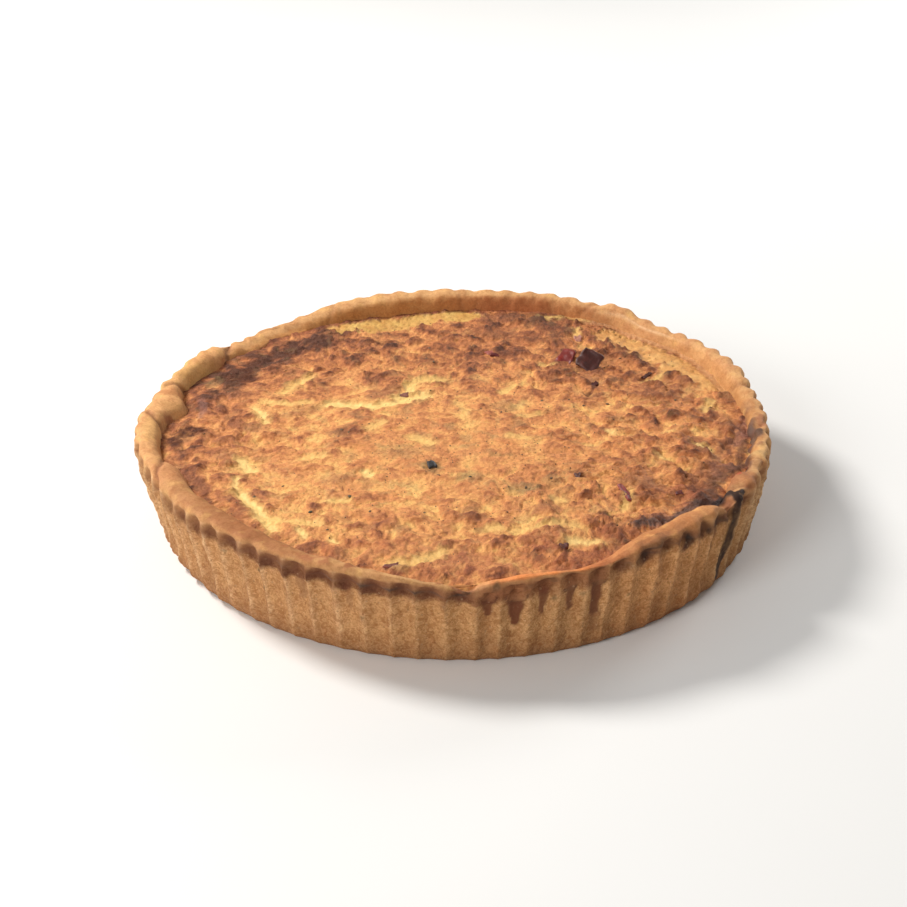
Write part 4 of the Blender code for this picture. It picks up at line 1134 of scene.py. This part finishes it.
def make_bits():
    points, faces, tints, count = [], [], [], 0
    for i, (x, y, length, width, thick, turn, tilt, roll, colour, sunk) in enumerate(BITS):
        p, f, edge = plate((0.9 * length, 0.9 * width, thick), 0.25, 0.1, 20 + i, n=14, waves=0.17)
        p = p + 0.22 * np.stack([grad2(p[:, 0], p[:, 1], 1.6, 60 + i), grad2(p[:, 0], p[:, 1], 1.6, 80 + i),
                                 0.8 * grad2(p[:, 0], p[:, 1], 1.2, 90 + i)], axis=1)
        z = float(custard_z(x, y)[0]) + 0.5 * thick * (1 - 2 * sunk) - 0.05
        points.append(turned(p, (x, y, z), turn, tilt, roll))
        faces.append(f + count)
        tint = np.tile(colour, (len(p), 1))
        tint = tint * 0.8
        tints.append(mix(tint, np.array(colour) * 1.6 + 0.01, ramp(edge, 0.85, 1.0) * 0.5))
        count += len(p)
    return add_mesh("meat_bits", np.concatenate(points), np.concatenate(faces), None, np.concatenate(tints))


NAMED_FLECKS = (
    (-66, -49.5, 0.9), (-54, -71.5, 1.0), (-40, -60, 1.1), (-32, -71, 0.8), (-47, -84, 0.8), (-46, -6, 0.9),
    (-47, -11, 0.8), (-76, -60, 0.9), (-12, 70, 0.9), (-13, 60, 1.0), (-10, 56, 0.9), (52, 16, 0.9), (46, 22, 0.8),
    (90, 22, 0.8), (35, 21, 0.8), (62, 20, 0.8), (-7, -43, 0.9), (26, -54, 1.0), (5, -45, 0.9), (36, -48, 0.9),
    (-43, -8, 0.7), (-12, -72, 0.8), (20, -18, 0.7), (18, 10, 0.8), (-20, 4, 0.6), (70, 60, 0.7),
)


def make_flecks():
    """Herb flecks as small curled leaves of dried green, one mesh."""
    rng = np.random.default_rng(77)
    rows = [(x, y, s) for x, y, s in NAMED_FLECKS]
    while len(rows) < 340:
        r, a = 110.0 * math.sqrt(rng.random()), rng.uniform(0, 2 * math.pi)
        x, y = r * math.cos(a), r * math.sin(a)
        dense = 0.25 + 0.75 * math.exp(-((x + 5) ** 2 + (y + 22) ** 2) / 72.0 ** 2)
        if rng.random() < dense:
            rows.append((x, y, rng.uniform(0.2, 0.46)))
    rows = np.array(rows)
    level = custard_z(rows[:, 0], rows[:, 1])
    points, faces, tints, count = [], [], [], 0
    for (x, y, s), z in zip(rows, level):
        turn, squeeze = rng.uniform(0, math.pi), rng.uniform(0.45, 0.9)
        ring = []
        for k in range(6):
            t = 2 * math.pi * k / 6
            ring.append((s * math.cos(t) * rng.uniform(0.8, 1.15), s * squeeze * math.sin(t) * rng.uniform(0.8, 1.15)))
        c, sn = math.cos(turn), math.sin(turn)
        low = [(x + u * c - w * sn, y + u * sn + w * c, z - 0.25) for u, w in ring]
        high = [(x + 0.7 * (u * c - w * sn), y + 0.7 * (u * sn + w * c), z + 0.16 * rng.uniform(0.6, 1.4)) for u, w in ring]
        points += low + high + [(x, y, z + 0.24)]
        for k in range(6):
            j = (k + 1) % 6
            faces.append((count + k, count + j, count + 6 + j, count + 6 + k))
            faces.append((count + 6 + k, count + 6 + j, count + 12))
        faces.append(tuple(count + k for k in range(5, -1, -1)))
        green = np.array((0.055, 0.050, 0.020)) if rng.random() < 0.6 else np.array((0.10, 0.055, 0.024))
        tints += [green * rng.uniform(0.6, 1.5)] * 13
        count += 13
    return add_mesh("herb_flecks", np.array(points), faces, None, np.array(tints))


def herb_material():
    s = Shader("dried_herb")
    fine = s.noise(0.5, 2.0)
    colour = s.blend(s.math("MULTIPLY", s.span(fine, 0.4, 0.7), 0.5), s.named("tint"), (0.12, 0.085, 0.035, 1.0))
    return s.set(Base_Color=colour, Roughness=0.6, Normal=s.bump(fine, 0.4, 0.2))


# --- Build ---------------------------------------------------------------------
crust = make_crust()
crust.data.materials.append(crust_material())
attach(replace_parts(crust, "crust"), "root")
filling = make_filling()
filling.data.materials.append(filling_material())
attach(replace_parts(filling, "filling"), "root")
chip_looks = meat_material("cured_meat", 0.34)
for thing, node in zip(make_chips(), CHIPS):
    thing.data.materials.append(chip_looks)
    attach(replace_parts(thing, node), "root")
bits = make_bits()
bits.data.materials.append(meat_material("meat_bits", 0.36))
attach(bits, "root")
flecks = make_flecks()
flecks.data.materials.append(herb_material())
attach(flecks, "root")

# --- Floor, light and camera ---------------------------------------------------
bpy.ops.mesh.primitive_plane_add(size=6.0, location=(0.0, 0.0, 0.0))
floor = bpy.context.object
floor.name = "floor"
floor_looks = Shader("floor")
floor.data.materials.append(floor_looks.set(
    Base_Color=floor_looks.blend(floor_looks.span(floor_looks.noise(400.0), 0.3, 0.7), (0.80, 0.80, 0.79, 1.0), (0.82, 0.82, 0.81, 1.0)),
    Roughness=0.7))

scene = bpy.context.scene
world = bpy.data.worlds.new("studio")
world.use_nodes = True
world.node_tree.nodes["Background"].inputs[0].default_value = (1.0, 0.985, 0.96, 1.0)
world.node_tree.nodes["Background"].inputs[1].default_value = 0.29
scene.world = world


def area(name, place, target, size, watts, colour=(1.0, 1.0, 1.0)):
    lamp = bpy.data.lights.new(name, "AREA")
    lamp.shape = "DISK"
    lamp.size = size
    lamp.energy = watts
    lamp.color = colour
    thing = bpy.data.objects.new(name, lamp)
    thing.location = place
    thing.rotation_euler = (Vector(target) - Vector(place)).to_track_quat("-Z", "Y").to_euler()
    scene.collection.objects.link(thing)
    return thing


area("key", (-0.80, 0.45, 0.85), (0.0, 0.0, 0.03), 0.34, 16.5, (1.0, 0.97, 0.93))
area("front", (-0.85, -1.10, 0.80), (0.0, 0.0, 0.03), 0.6, 11.5, (1.0, 0.98, 0.96))
area("back_right", (0.75, 0.75, 0.45), (0.0, 0.0, 0.03), 0.4, 4.5)

camera_data = bpy.data.cameras.new("camera")
camera_data.sensor_width = 36.0
camera_data.lens = 76.13
camera_data.clip_start = 0.01
camera = bpy.data.objects.new("camera", camera_data)
scene.collection.objects.link(camera)
ELEVATION = math.radians(29.63)
c, s = math.cos(ELEVATION), math.sin(ELEVATION)
camera.location = Vector((0.0, -0.7875 * c, 0.7875 * s)) + Vector(SHIFT) * MM
aim = Vector((0.0, c, -s)) + Vector((0.0, s, c)) * (43.8 / 1918.0) + Vector((1.0, 0.0, 0.0)) * (-3.3 / 1918.0)
camera.rotation_euler = aim.to_track_quat("-Z", "Y").to_euler()
scene.camera = camera
scene.view_settings.view_transform = "Standard"
scene.view_settings.look = "None"
scene.view_settings.exposure = 0.0
scene.view_settings.gamma = 1.0
